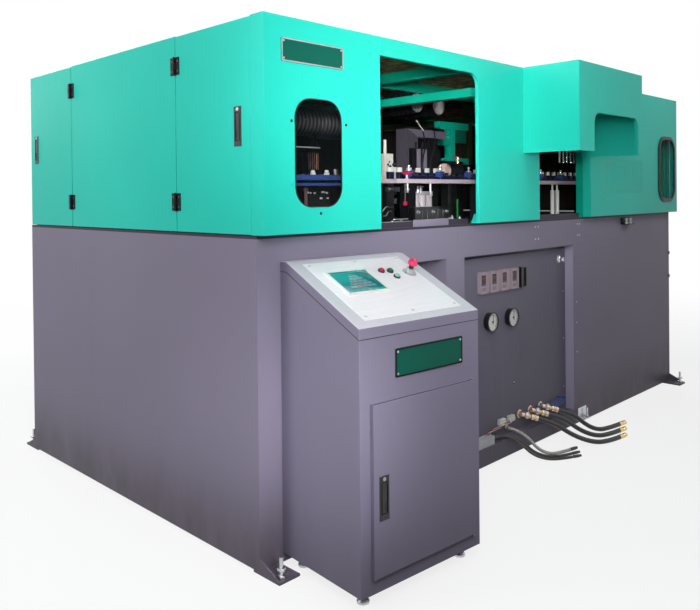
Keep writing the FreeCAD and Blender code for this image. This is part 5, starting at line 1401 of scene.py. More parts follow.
@dataclass
class ServicePanel:
    """The recessed panel: gauges, instruments, knob, trunking, terminals and tubes."""

    gauges: Spot = (1680.0, 1892.0)
    gauge_height: float = 773.0
    module_first: float = 1575.0
    module_pitch: float = 104.5
    module_widths: tuple[float, ...] = (74.0, 74.0, 74.0, 74.0, 56.0)
    module_bottom: float = 936.0
    knob_at: Spot = (2470, 1068)
    terminals_at: Spot = (1757.0, 1852.0)
    grommet_at: Spot = (1935, 387)
    trunk_low: float = 1378.0
    trunk_high: float = 1653.0
    bracket_low: float = 2590.0
    bracket_high: float = 2700.0

    def build(self) -> None:
        """Dresses the panel's nodes and adds its details."""
        # The recess's side that faces the lamps takes a lighter copy of the cabinet paint as painted light.
        dress("recess_tray", RECESS_PAINT, (LIT_SIDE_PAINT, lambda c, n: n.x < -0.9 and c.x > 0.4))
        # A black strip under the recess's top edge: painted shadow.
        Shape().box((1376, 40, 1136), (2500, 57.6, 1157), 1.5).finish("recess_top_painted_shadow", BLACK_PAINT_AND_SHADE)
        left, right = (metres(at, 0, self.gauge_height) for at in self.gauges)
        split = (left[0] + right[0]) / 2
        dress("gauge_cases", BLACK_PLASTIC,
              (DialFace("dial_left", left), lambda c, n: n.y < -0.9 and c.y > -1.0345 and c.x < split),
              (DialFace("dial_right", right), lambda c, n: n.y < -0.9 and c.y > -1.0345 and c.x > split))
        last = metres(self.module_first + 4 * self.module_pitch - 8, 0, 0)[0]
        for node, look, *others in (
                ("left_needle", BLACK_PLASTIC),
                ("right_needle", BLACK_PLASTIC),
                ("instrument_modules", MODULE_PLASTIC, (BLACK_PLASTIC, lambda c, n: c.x > last)),
                ("panel_knob", CHROME),
                ("cable_trunking", SILVER_PLASTIC)):
            dress(node, look, *others)
        self.glasses()
        self.module_faces()
        self.knob_mark()
        self.terminals()
        self.tubes()
        self.wires()
        self.fastenings()
        self.floor_stud()

    def glasses(self) -> None:
        """Makes the clear fronts of the two gauges."""
        shape = Shape().each([(at, 25.6, self.gauge_height) for at in self.gauges],
                             [(0, 0), (47.5, 0), (48.6, 0.4), (48.6, 1.0), (0, 1.0), (0, 0)], FORWARD, 48)
        shape.finish("gauge_glasses", GAUGE_GLASS)

    def module_faces(self) -> None:
        """Makes the fronts of the instrument modules, set into their frames."""
        low, high = self.module_bottom + 6.5, self.module_bottom + 112.5
        for number, width in enumerate(self.module_widths):
            start = self.module_first + number * self.module_pitch
            x0, x1 = start + 6.5, start + width - 6.5
            shape = Shape().box((x0, 44.0, low), (x1, 51.7, high), 1.2)
            for row in range(3):
                shape.box((x0 + 6, 42.6, low + 12 + row * 8), (x1 - 6, 44.2, low + 16 + row * 8), 0.5, 1)
            piece = shape.finish(f"module_face_{number + 1}", MODULE_FACE if number < 4 else BLACK_PLASTIC)
            unwrap(piece, MACHINE, (x0, low), (x1, high), (0, 2))

    def knob_mark(self) -> None:
        """Makes the white line on the knob and the ring behind it."""
        x, z = self.knob_at
        Shape().box((x - 0.8, 23.3, z + 4), (x + 0.8, 24.3, z + 14.5), 0.3, 1).finish(
            "knob_mark", WHITE_PLASTIC, Body.KNOB)
        ring = Shape().turned([(18.5, 0.3), (24.5, 0.3), (24.5, 1.6), (23.5, 2.4), (18.5, 2.4)],
                              (x, PANEL_FACE, z), FORWARD, 36)
        ring.finish("knob_ring", ZINC)

    def terminals(self) -> None:
        """Makes the two white terminal blocks with their slots and clamping screws."""
        blocks, heads = Shape(), []
        for start in self.terminals_at:
            blocks.box((start, 36, 172), (start + 62, 57.6, 192), 1.0)
            for tooth in range(4):
                x = start + 1 + tooth * 15.6
                blocks.box((x, 37, 191), (x + 11, 57, 206), 1.0)
                heads.append((x + 5.5, 36.0, 182))
        blocks.finish("terminal_blocks", WHITE_PLASTIC, slot="white_plastic")
        screws("terminal_screws", heads, 3.2, BRASS, rise=1.2)

    def tubes(self) -> None:
        """Makes the four blue air tubes behind the hoses."""
        for number in range(4):
            x, z, y = 2176 + number * 24, 196 - number * 6, 40 - number * 3
            route = [(x, 58.5, z), (x, y + 6, z), (x + 12, y - 2, z - 6),
                     (x + 90, y - 6, z - 20 - 3 * number), (x + 190, y - 4, z - 14), (x + 246, y - 2, z + 2),
                     (x + 258, y + 6, z + 6), (x + 258, 58.5, z + 6)]
            bent_rod(f"air_tube_{number + 1}", route, 3.2, BLUE_PLASTIC)

    def wires(self) -> None:
        """Makes the small wires that run from the trunking to the terminals."""
        looks = (RED_PLASTIC, WHITE_PLASTIC, BLACK_PLASTIC, RED_PLASTIC, BLACK_PLASTIC, WHITE_PLASTIC)
        for number, look in enumerate(looks):
            x, reach = 1603 + number * 9.5, 1762 + number * 22
            route = [(x, 34, 149), (x, 34, 158), (x + 8, 32, 164 + number * 2),
                     (x + 40, 27, 166 + number * 3), (reach - 26, 26, 168 + number), (reach - 6, 28, 176),
                     (reach, 34, 181), (reach, 40, 184)]
            bent_rod(f"signal_wire_{number + 1}", route, 1.5, look)

    def fastenings(self) -> None:
        """Makes the panel's screws, the ribs of the trunking's lid and the rubber grommet."""
        heads = product((1404, 2522), (PANEL_FACE,), (250, 560, 860, 1128))
        screws("panel_screws", heads, 4.6, ZINC, rise=2.0)
        lid = Shape()
        for low in (112, 138):
            lid.box((self.trunk_low, 7.2, low), (self.trunk_high, 8.3, low + 6), 0.3, 1)
        lid.finish("trunking_ribs", SILVER_PLASTIC, slot="silver_plastic")
        x, z = self.grommet_at
        grommet = Shape().turned([(5, -0.2), (11, -0.2), (11, 1.6), (9.5, 3.0), (5, 3.0)],
                                 (x, PANEL_FACE, z), FORWARD, 28)
        grommet.finish("panel_grommet", SEAL_RUBBER)

    def floor_stud(self) -> None:
        """Makes the angle bracket by the cabinet's foot line, with its stud and nut."""
        low, high = self.bracket_low, self.bracket_high
        bracket = Shape().box((low, -6, 34), (high, -0.2, 104), 1.5).box((low, -44, 34), (high, -5, 40), 1.5)
        bracket.drum((high - 28, -25, 39), 6, 58, sides=20, bevel=1.0)
        bracket.drum((high - 28, -25, 40), 11, 9, sides=6, bevel=0.8)
        bracket.finish("floor_stud", ZINC, slot="bright_steel")


# ---------------------------------------------------------------- enclosure


@dataclass
class Enclosure:
    """The green covers above the deck, with their windows, hood, vents and bare plates."""

    window_low: Spot = (157.0, 1440.0)
    window_size: Spot = (263.0, 444.0)
    window_round: float = 85.0
    right_window: float = BASE_LENGTH - 311.0
    plate_low: Spot = (88.0, 2020.0)
    plate_high: Spot = (433.0, 2115.0)
    black_screws: tuple[Spot, ...] = ((140, 1787), (449, 1788), (296, 1413))
    green_screws: tuple[Spot, ...] = ((139, 1534), (448, 1531), (292, 1903))
    notch_low: Spot = (2044.0, 1717.0)
    notch_high: Spot = (2615.0, 1934.0)
    bracket: Spot = (3240.0, 3370.0)

    def build(self) -> None:
        """Dresses the covers and adds their details."""
        def behind(c: Vector, n: Vector) -> bool:
            """A face that looks into the enclosure."""
            return n.y > 0.5

        def inward(c: Vector, n: Vector) -> bool:
            """A face of the side or back covers that looks inward."""
            return (abs(n.y) > 0.5 and n.y * c.y < 0) or (abs(n.x) > 0.5 and n.x * c.x < 0)

        def sensor_plate(c: Vector, n: Vector) -> bool:
            """The front of the small bright plate on the frame's post."""
            return n.x < -0.9 and abs(c.x - 0.03) < 0.01 and 1.83 < c.z < 1.91

        def web_sheet(c: Vector, n: Vector) -> bool:
            """A face of the darker sheet between the frame's flanges."""
            return 0.42 < c.x < 0.645 and abs(c.y + 0.142) < 0.01 and 1.86 < c.z < 1.99

        def far_frame(c: Vector, n: Vector) -> bool:
            """A face of the frame's far posts and stays, which stand in the dark and take a painted shade."""
            return 0.635 < c.x < 0.72 and abs(c.y) < 0.95 and c.z > 1.7

        for node, look, *others in (
                # Inward faces take the dark primer, partly painted shade.
                ("left_front_cover", COVER_PAINT, (INSIDE_PRIMER_AND_SHADE, behind)),
                ("bridge_cover", COVER_PAINT, (INSIDE_PRIMER_AND_SHADE, behind)),
                ("right_front_cover", COVER_PAINT, (INSIDE_PRIMER_AND_SHADE, behind)),
                ("hood", COVER_PAINT),
                ("side_and_back_covers", COVER_PAINT, (INSIDE_PRIMER_AND_SHADE, inward)),
                ("cover_frame", INNER_GREEN,
                 (COVER_PAINT, lambda c, n: c.z > 2.1995 and n.z > -0.5),
                 (ROOF_LINING, lambda c, n: c.z > 2.1995 and n.z < -0.5),
                 (ZINC, sensor_plate), (SHEET_GREEN, web_sheet), (FRAME_SHADE_PAINT, far_frame)),
                ("window_panes", ACRYLIC),
                ("window_gasket", SEAL_RUBBER),
                ("blank_plates", PLATE_GREEN)):
            dress(node, look, *others)
        self.window_lining()
        for name, look, spots in (("window_screws", BLACK_PLASTIC, self.black_screws),
                                  ("painted_screws", COVER_PAINT, self.green_screws)):
            screws(name, [(x, COVER_FACE, z) for x, z in spots], 6.4, look, rise=3.4)
        heads = [(start + x, BASE_WIDTH, z) for start in (28, 1038.5, 2049.5, 3060) for x in (26, 503, 980)
                 for z in (1362, 1766, 2170)]
        screws("back_cover_screws", heads, 6.0, BLACK_PLASTIC, out=BACK, rise=3.0)
        self.cover_plate()
        self.vent_screen()
        self.stud_bracket()
        self.notch_fold()

    def window_lining(self) -> None:
        """Makes the black lip round the left window's cut edge and the right gasket's inner bead."""
        x, z = self.window_low
        w, h = self.window_size
        low, high, radius = (x, z), (x + w, z + h), self.window_round
        lip = Shape().plate(oval(low, high, radius + 1.5, grow=1.5), -57.0, -52.6,
                            oval(low, high, radius - 3, grow=-3), 0.6)
        lip.finish("left_window_lip", SEAL_RUBBER, slot="seal_rubber")
        low, high = (self.right_window, z), (self.right_window + w, z + h)
        bead = Shape().plate(oval(low, high, radius + 12, grow=12), -66.4, -62.6,
                             oval(low, high, radius + 4, grow=4), 1.2)
        bead.finish("right_window_bead", SEAL_RUBBER, slot="seal_rubber")

    def cover_plate(self) -> None:
        """Makes the rim and rivets of the bare plate on the left cover."""
        low, high = self.plate_low, self.plate_high
        rim = Shape().plate(oval(low, high, 8, 4, -1), -59.2, -58.0, oval(low, high, 4, 4, -6))
        rim.finish("cover_plate_rim", ZINC)
        screws("cover_plate_rivets", corners(low, high, 13, -58.0), 4.2, ZINC)

    def vent_screen(self) -> None:
        """Makes the pale mesh sheet behind the right cover's slots."""
        sheet = Shape().box((2862, -52.7, 1474), (3506, -51.5, 1722), 0.3, 1)
        for number in range(9):
            sheet.box((2866, -52.9, 1486 + number * 28), (3502, -52.6, 1489 + number * 28), 0.1, 1)
        sheet.finish("vent_screen", VENT_GREEN)

    def stud_bracket(self) -> None:
        """Makes the black bracket with two white studs under the right cover."""
        low, high = self.bracket
        bracket = Shape().box((low, -9, 1262), (high, -0.2, 1312), 1.5)
        bracket.box((low, -46, 1262), (high, -8, 1268), 1.5).finish("stud_bracket", BLACK_PAINT_AND_SHADE)
        studs = Shape().each([(x, -27, 1267.8) for x in (low + 32, high - 32)],
                             [*stack((11, 8), (7, 26), (9, 36))[:-1], (7.5, 38), (0, 38)], steps=24)
        studs.finish("bracket_studs", WHITE_PLASTIC)

    def notch_fold(self) -> None:
        """Makes the folded edge that lines the hood's notch."""
        (x0, foot), (x1, top) = self.notch_low, self.notch_high
        inner = [(2.2, foot), (2.2, top - 62), (19, top - 18), (62, top - 2.2)]
        outer = [(62, top + 1), (17, top - 16), (-1, top - 62)]
        outline = [(x0 - 1, foot), *((x0 + x, z) for x, z in inner), *((x1 - x, z) for x, z in inner[::-1]),
                   (x1 + 1, foot), *((x1 - x, z) for x, z in outer[::-1]), *((x0 + x, z) for x, z in outer)]
        Shape().plate(outline, -396.4, -376.0).finish("notch_fold", COVER_PAINT, slot="cover_paint")


@dataclass
class EndDoors:
    """The two hinged doors on the left end, with their latches and hinges."""

    latches: tuple[tuple[Body, float], ...] = ((Body.NEAR_DOOR, 111.0), (Body.FAR_DOOR, 2047.0))
    lock_height: float = 1837.0
    hinges: tuple[tuple[Body, float, int], ...] = ((Body.NEAR_DOOR, 565.0, -1), (Body.FAR_DOOR, 1595.0, 1))
    hinge_heights: Spot = (1465.0, 2066.0)
    leaf_face: float = -3.3

    def build(self) -> None:
        """Dresses the doors and adds latch and hinge details."""
        for node in ("near_door", "far_door"):
            # The doors' inner faces take the dark primer, partly painted shade.
            dress(node, COVER_PAINT, (INSIDE_PRIMER_AND_SHADE, lambda c, n: n.x > 0.5),
                  (BLACK_PAINT_AND_SHADE, lambda c, n: c.x < -2.0507))
        for node in ("near_latch_case", "near_latch_lever", "far_latch_case", "far_latch_lever"):
            dress(node, BLACK_PLASTIC)
        dress("fixed_hinge_leaves", BLACK_PAINT_AND_SHADE)
        self.locks()
        self.hinge_screws()

    def locks(self) -> None:
        """Makes the silver lock barrel at the top of each latch."""
        for body, at in self.latches:
            lock = Shape().turned([(0, 0.6), (4.6, 0.6), (5.2, 2.0), (7.0, 2.0), (7.6, 1.0), (7.6, -0.8),
                                   (0, -0.8), (0, 0.6)], (-2.8, at, self.lock_height), LEFT, 28)
            lock.box((-4.0, at - 0.8, self.lock_height - 4), (-3.2, at + 0.8, self.lock_height + 4), 0.2, 1)
            lock.finish(body.value + "_lock", ZINC, body)

    def hinge_screws(self) -> None:
        """Makes the screws of the hinges: two on each leaf."""
        for body, row, side in self.hinges:
            for name, carrier, reach in (("_hinge_screws", body, side * 22),
                                         ("_post_screws", Body.MACHINE, -side * 22)):
                heads = [(self.leaf_face, row + reach, height + rise) for height in self.hinge_heights
                         for rise in (-22, 22)]
                screws(body.value + name, heads, 4.0, DARK_STEEL, carrier, LEFT, rise=1.6)


@dataclass
class BaseCabinet:
    """The grey cabinet under the deck, with its feet, access plates and screws."""

    front_screws: tuple[Spot, ...] = (
        (2089, 1288), (2124, 1288), (2608, 1288), (2637, 1288), (2089, 1216), (2124, 1216), (2608, 1216),
        (2637, 1216), (2590, 789), (2590, 658), (2590, 469))
    plate_starts: tuple[float, ...] = (190, 1500, 2810)
    plate_length: float = 1100.0
    plate_heights: Spot = (150.0, 1190.0)
    end_plate: Spot = (260.0, 1880.0)
    hinge_lows: Spot = (819.0, 1000.0)

    def build(self) -> None:
        """Dresses the cabinet and adds its small fittings."""
        for node, look, *others in (
                ("base_cabinet", CABINET_PAINT, (CABINET_INSIDE, lambda c, n: n.y > 0.5 and c.y < 0.9)),
                ("deck_plate", DECK_PAINT),
                ("foot_brackets", CABINET_PAINT),
                ("levelling_feet", ZINC)):
            dress(node, look, *others)
        screws("cabinet_screws", [(x, 0, z) for x, z in self.front_screws], 5.0, WHITE_PLASTIC, rise=2.4)
        self.side_hinges()
        self.foot_nuts()
        self.access_plates()

    def access_plates(self) -> None:
        """Makes the screwed access plates on the cabinet's back and right end."""
        low, high = self.plate_heights
        rows = (low + 24, (low + high) / 2, high - 24)
        plates, backs = Shape(), []
        for start in self.plate_starts:
            end = start + self.plate_length
            plates.box((start, BASE_WIDTH + 0.1, low), (end, BASE_WIDTH + 1.7, high), 0.6, 1)
            backs += product((start + 24, (start + end) / 2, end - 24), (BASE_WIDTH + 1.7,), rows)
        near, far = self.end_plate
        plates.box((BASE_LENGTH + 0.1, near, low), (BASE_LENGTH + 1.7, far, high), 0.6, 1)
        plates.finish("access_plates", CABINET_PAINT)
        ends = product((BASE_LENGTH + 1.7,), (near + 24, (near + far) / 2, far - 24), rows)
        for name, heads, out in (("back_plate_screws", backs, BACK), ("end_plate_screws", ends, RIGHT)):
            screws(name, heads, 6.0, BLACK_PAINT_AND_SHADE, out=out, rise=3.0)

    def side_hinges(self) -> None:
        """Makes the small hinge barrels by the cabinet's right edge."""
        shape = Shape()
        for low in self.hinge_lows:
            shape.turned([(0, 0), (4.6, 0), (5.0, 0.8), (5.0, 11), (4.4, 11.4), (4.4, 12.4), (5.0, 12.8),
                          (5.0, 23.2), (4.6, 24), (0, 24)], (4092, -4.6, low), steps=20)
            shape.box((4072, -2.2, low), (4090, -0.2, low + 24), 0.4, 1)
        shape.finish("cabinet_hinges", DARK_STEEL)

    def foot_nuts(self) -> None:
        """Makes the pairs of hexagon nuts on the four levelling studs."""
        shape = Shape()
        for centre in product((32, BASE_LENGTH - 32), (-92, BASE_WIDTH + 92), (10.3, 38.9)):
            shape.drum(centre, 17.5, 12.4, sides=6, bevel=1.0)
        shape.finish("foot_nuts", ZINC, slot="bright_steel")


# ---------------------------------------------------------------- machinery


@dataclass
class Transfer:
    """The line that carries the preforms: rail, train of blocks with mandrels, chain wheel and clips."""

    train_first: float = 1212.0
    train_pitch: float = 270.0
    train_count: int = 10
    chain_line: float = 245.0
    wheel: Spot = (640.0, 640.0)
    wheel_reach: float = 430.0
    clip_first: float = 1128.0
    clip_pitch: float = 78.0
    drive_gap: Spot = (1590.0, 1860.0)
    drive_axis: Spot = (378.0, 1626.0)
    valve: Spot = (1838.0, 378.0)
    cap_at: Spot = (1165.0, 212.0)
    tag_at: Spot = (1157.0, 217.0)

    def build(self) -> None:
        """Dresses the line and adds its details."""
        for node, look, *others in (
                # The rail's posts below 1.54 m are painted black as shade.
                ("transfer_rail", RAIL_PAINT, (BLACK_PAINT_AND_SHADE, lambda c, n: c.z < 1.54)),
                ("mandrel_blocks", BLUE_PAINT, (BAR_PAINT, lambda c, n: c.z < 1.585)),
                ("mandrels", STEEL),
                ("chain_wheel", BLUE_PAINT, (DARK_STEEL, lambda c, n: c.z > 1.5835))):
            dress(node, look, *others)
        self.train_details()
        self.wheel_details()
        self.clips()
        self.drive_details()
        self.cap_and_tag()

    def train_details(self) -> None:
        """Makes the collars on the mandrels, the clamping screws of the blocks and the chain's rollers."""
        centres = [self.train_first + number * self.train_pitch for number in range(self.train_count)]
        collars = Shape().each([(x, 237, 1614.3) for x in centres],
                               [(11.4, 0), (15, 0), (15, 5), (13, 7), (11.4, 7)], steps=24)
        collars.finish("mandrel_collars", ZINC, Body.TRAIN)
        heads = [(x + aside, 220, z) for x in centres for aside, z in ((-12, 1603), (12, 1603), (0, 1589))]
        screws("block_screws", heads, 4.0, DARK_STEEL, Body.TRAIN, rise=2.4)
        rollers = Shape().each([(x + 68 + 67 * step, self.chain_line, 1584.1) for x in centres[:-1]
                                for step in range(3)], stack((15, 7), (9, 15), (13, 23), gap=2), steps=24)
        rollers.finish("chain_rollers", BAR_PAINT, Body.TRAIN)

    def wheel_details(self) -> None:
        """Makes the wheel's hub ring with its bolts, and the white caps between its lugs."""
        x, y = self.wheel
        cap = Shape().turned([(40, 0), (74, 0), (74, 5), (66, 9), (50, 9), (50, 13), (40, 13)],
                             (x, y, 1623.3), steps=40)
        cap.finish("wheel_cap", STEEL, Body.WHEEL)
        bolts = [(*spot, 1632.2) for spot in around(x, y, 60, 6)]
        screws("wheel_bolts", bolts, 5.0, DARK_STEEL, Body.WHEEL, UP, rise=4.0)
        leading, trailing = (around(x, y, self.wheel_reach, 12, -lag) for lag in (7, 17))
        caps = Shape().each([(*spot, 1583.2) for pair in zip(leading, trailing) for spot in pair],
                            [(0, 0), (13, 0), (13, 9), (10, 12), (10, 20), (8, 22), (0, 22)])
        caps.finish("wheel_caps", WHITE_PLASTIC, Body.WHEEL)

    def clips(self) -> None:
        """Makes the white clips on their dark holders along the rail, left out before the drive."""
        caps, holders = Shape(), Shape()
        for number in range(30):
            x = self.clip_first + number * self.clip_pitch
            if self.drive_gap[0] < x < self.drive_gap[1]:
                continue
            caps.box((x, 296, 1608), (x + 24, 314, 1634), 2.0)
            holders.box((x - 6, 292, ON_RAIL), (x + 30, 318, 1609), 1.5, 1)
        caps.finish("rail_clips", WHITE_PLASTIC)
        holders.finish("clip_holders", BAR_PAINT)

    def drive_details(self) -> None:
        """Makes the drive's cooling ribs, and the brass valve on it with its red lever."""
        ribs = Shape().each([(1724 + number * 11.4, *self.drive_axis) for number in range(10)],
                            [(38.3, 0), (50, 0), (50, 6), (38.3, 6)], RIGHT, 36)
        ribs.finish("drive_ribs", BLACK_PAINT_AND_SHADE)
        x, y = self.valve
        lever = Shape().drum((x, y, 1700), 7, 12, sides=20, bevel=1.0)
        lever.box((x - 46, y - 5, 1712), (x + 4, y + 5, 1718), 2.0)
        lever.box((x, y - 7, 1706), (x + 34, y + 7, 1712), 2.0)
        lever.finish("valve_lever", RED_PLASTIC)
        valve = Shape().turned([(0, 0), (11, 0), (11, 10), (6, 12), (6, 24), (9, 25), (9, 34), (0, 34)],
                               (x, y, 1676), steps=24)
        valve.finish("lever_valve", BRASS)

    def cap_and_tag(self) -> None:
        """Makes the red cap on its white stem, and the red tag that hangs on a rod under the rail."""
        stem = Shape().turned(stack((9, 4), (5, 20), gap=2), (*self.cap_at, ON_RAIL), steps=20)
        stem.finish("cap_stem", WHITE_PLASTIC)
        cap = Shape().turned([(0, 0), (10, 0), (24, 6), (26, 10), (24, 14), (12, 18), (0, 18)],
                             (*self.cap_at, 1590.4), steps=28)
        cap.finish("red_cap", RED_PLASTIC)
        x, y = self.tag_at
        tag = Shape().box((x - 14, y - 3, 1430), (x + 14, y + 3, 1452), 1.5)
        tag.box((x - 10, y - 3.8, 1438), (x + 10, y - 2.8, 1444), 0.3, 1)
        tag.finish("stop_tag", RED_PLASTIC)
        rod = Shape().drum((x, y, 1450), 3, 97.8, sides=12, bevel=0.5)
        rod.drum((x, y, 1500), 6, 8, sides=6, bevel=0.5).finish("tag_rod", DARK_STEEL)


@dataclass
class StretchAndClamp:
    """The stretch gantry with its head, lift motors and cables, and the clamp below it."""

    motors: Spot = (1729.0, 1946.0)
    motor_height: float = 2052.0
    motor_front: float = 600.0
    fin_pitch: float = 34.0
    head_bars: Spot = (1725.0, 1785.0)
    cables: tuple[Spot, ...] = ((1792.0, -56.0), (1905.0, -96.0))
    wire_route: tuple[Point, ...] = ((1754, 622, 1946), (1762, 618, 1928), (1770, 608, 1910),
                                     (1776, 600, 1896), (1782, 590, 1880))

    def build(self) -> None:
        """Dresses the gantry, its head and the clamp, and adds their details."""
        def guide_bar(c: Vector, n: Vector) -> bool:
            """A face round one of the clamp's bright guide bars."""
            return abs(n.x) < 0.99 and abs(n.y) < 0.5 and 1.40 < c.z < 1.56 and abs(n.z) < 0.999

        for node, look, *others in (
                # The columns take a darker copy of the gantry paint as painted shade, and the far column is painted
                # black as shade.
                ("stretch_gantry", GANTRY_PAINT, (SHADED_COLUMN_PAINT, lambda c, n: c.z < 1.84),
                 (BLACK_PAINT_AND_SHADE, lambda c, n: c.x > -0.20 and c.z < 1.84)),
                # The head is painted black as shade; its rods below stay bright steel.
                ("stretch_head", BLACK_PAINT_AND_SHADE, (STEEL, lambda c, n: c.z < 1.638)),
                ("lift_motors", BLACK_PAINT_AND_SHADE),
                # The clamp bed is painted black as shade; its guide bars stay bright.
                ("clamp_bed", BLACK_PAINT_AND_SHADE, (STEEL, guide_bar)),
                # The platens' faces that stand in the dark are painted black as shade.
                ("front_platen", STEEL, (BLACK_PAINT_AND_SHADE, lambda c, n: c.y > -0.0555 and n.z < 0.9)),
                ("rear_platen", STEEL, (BLACK_PAINT_AND_SHADE, lambda c, n: c.y < 0.2855 and n.z < 0.9))):
            dress(node, look, *others)
        self.motor_discs()
        self.motor_fins()
        self.gantry_cables()
        self.bars()
        self.tie_rods()

    def motor_discs(self) -> None:
        """Makes the ribbed silver end discs of the two lift motors, with their bolts."""
        profile = [(0, 0), (0, 5.0), (12, 5.0), (13, 3.4)]
        for inner in range(16, 56, 8):
            profile += [(inner, 3.4), (inner + 1, 6.4), (inner + 4, 6.4), (inner + 5, 3.4)]
        profile += [(58, 3.4), (58, 0), (0, 0)]
        discs = Shape().each([(x, self.motor_front - 0.4, self.motor_height) for x in self.motors], profile,
                             FORWARD, 36)
        discs.finish("motor_discs", DISC_MESH)
        bolts = [(bx, self.motor_front - 3.8, bz) for x in self.motors
                 for bx, bz in around(x, self.motor_height, 51, 6, 30)]
        screws("motor_bolts", bolts, 4.4, DARK_STEEL, rise=3.2)

    def motor_fins(self) -> None:
        """Makes the cooling fins round the two lift motors."""
        fins = Shape().each([(x, self.motor_front + 60 + number * self.fin_pitch, self.motor_height)
                             for x in self.motors for number in range(7)],
                            [(63.3, 0), (68, 0), (68, 8), (63.3, 8)], BACK, 32)
        fins.finish("motor_fins", BLACK_PAINT_AND_SHADE)

    def gantry_cables(self) -> None:
        """Makes the two black cables and the thin white one that hang over the gantry's beam."""
        for number, (x, lean) in enumerate(self.cables, start=1):
            route = [(x, 760, 1900), (x, 730, 1912), (x, 690, 1904), (x, 650, 1901), (x, 618, 1903),
                     (x, 604, 1888), (x - 4, 596, 1850), (x + lean * 0.2, 572, 1800),
                     (x + lean * 0.6, 566, 1750), (x + lean, 566, 1700), (x + lean, 566, 1640),
                     (x + lean + 6, 566, 1600)]
            bent_rod(f"gantry_cable_{number}", route, 4.6, GANTRY_JACKET)
        bent_rod("gantry_wire", self.wire_route, 3.0, WHITE_PLASTIC)

    def bars(self) -> None:
        """Makes the two grey bars on the front of the stretch head, each with its raised pad."""
        bars = Shape()
        for x in self.head_bars:
            bars.box((x - 12, 578, 1644), (x + 12, 593.8, 1766), 2.0)
            bars.box((x - 8, 575, 1650), (x + 8, 579, 1700), 1.0, 1)
        bars.finish("head_bars", HEAD_PAINT, Body.STRETCHER)

    def tie_rods(self) -> None:
        """Makes the bright tie rods beside the clamp, with their nuts."""
        shape = Shape()
        for z in (1440, 1490, 1540):
            shape.drum((2557, 700, z), 9, 120, Axis.X, 20, 1.5).drum((2552, 700, z), 16, 14, Axis.X, 6, 1.0)
        shape.finish("tie_rods", STEEL)


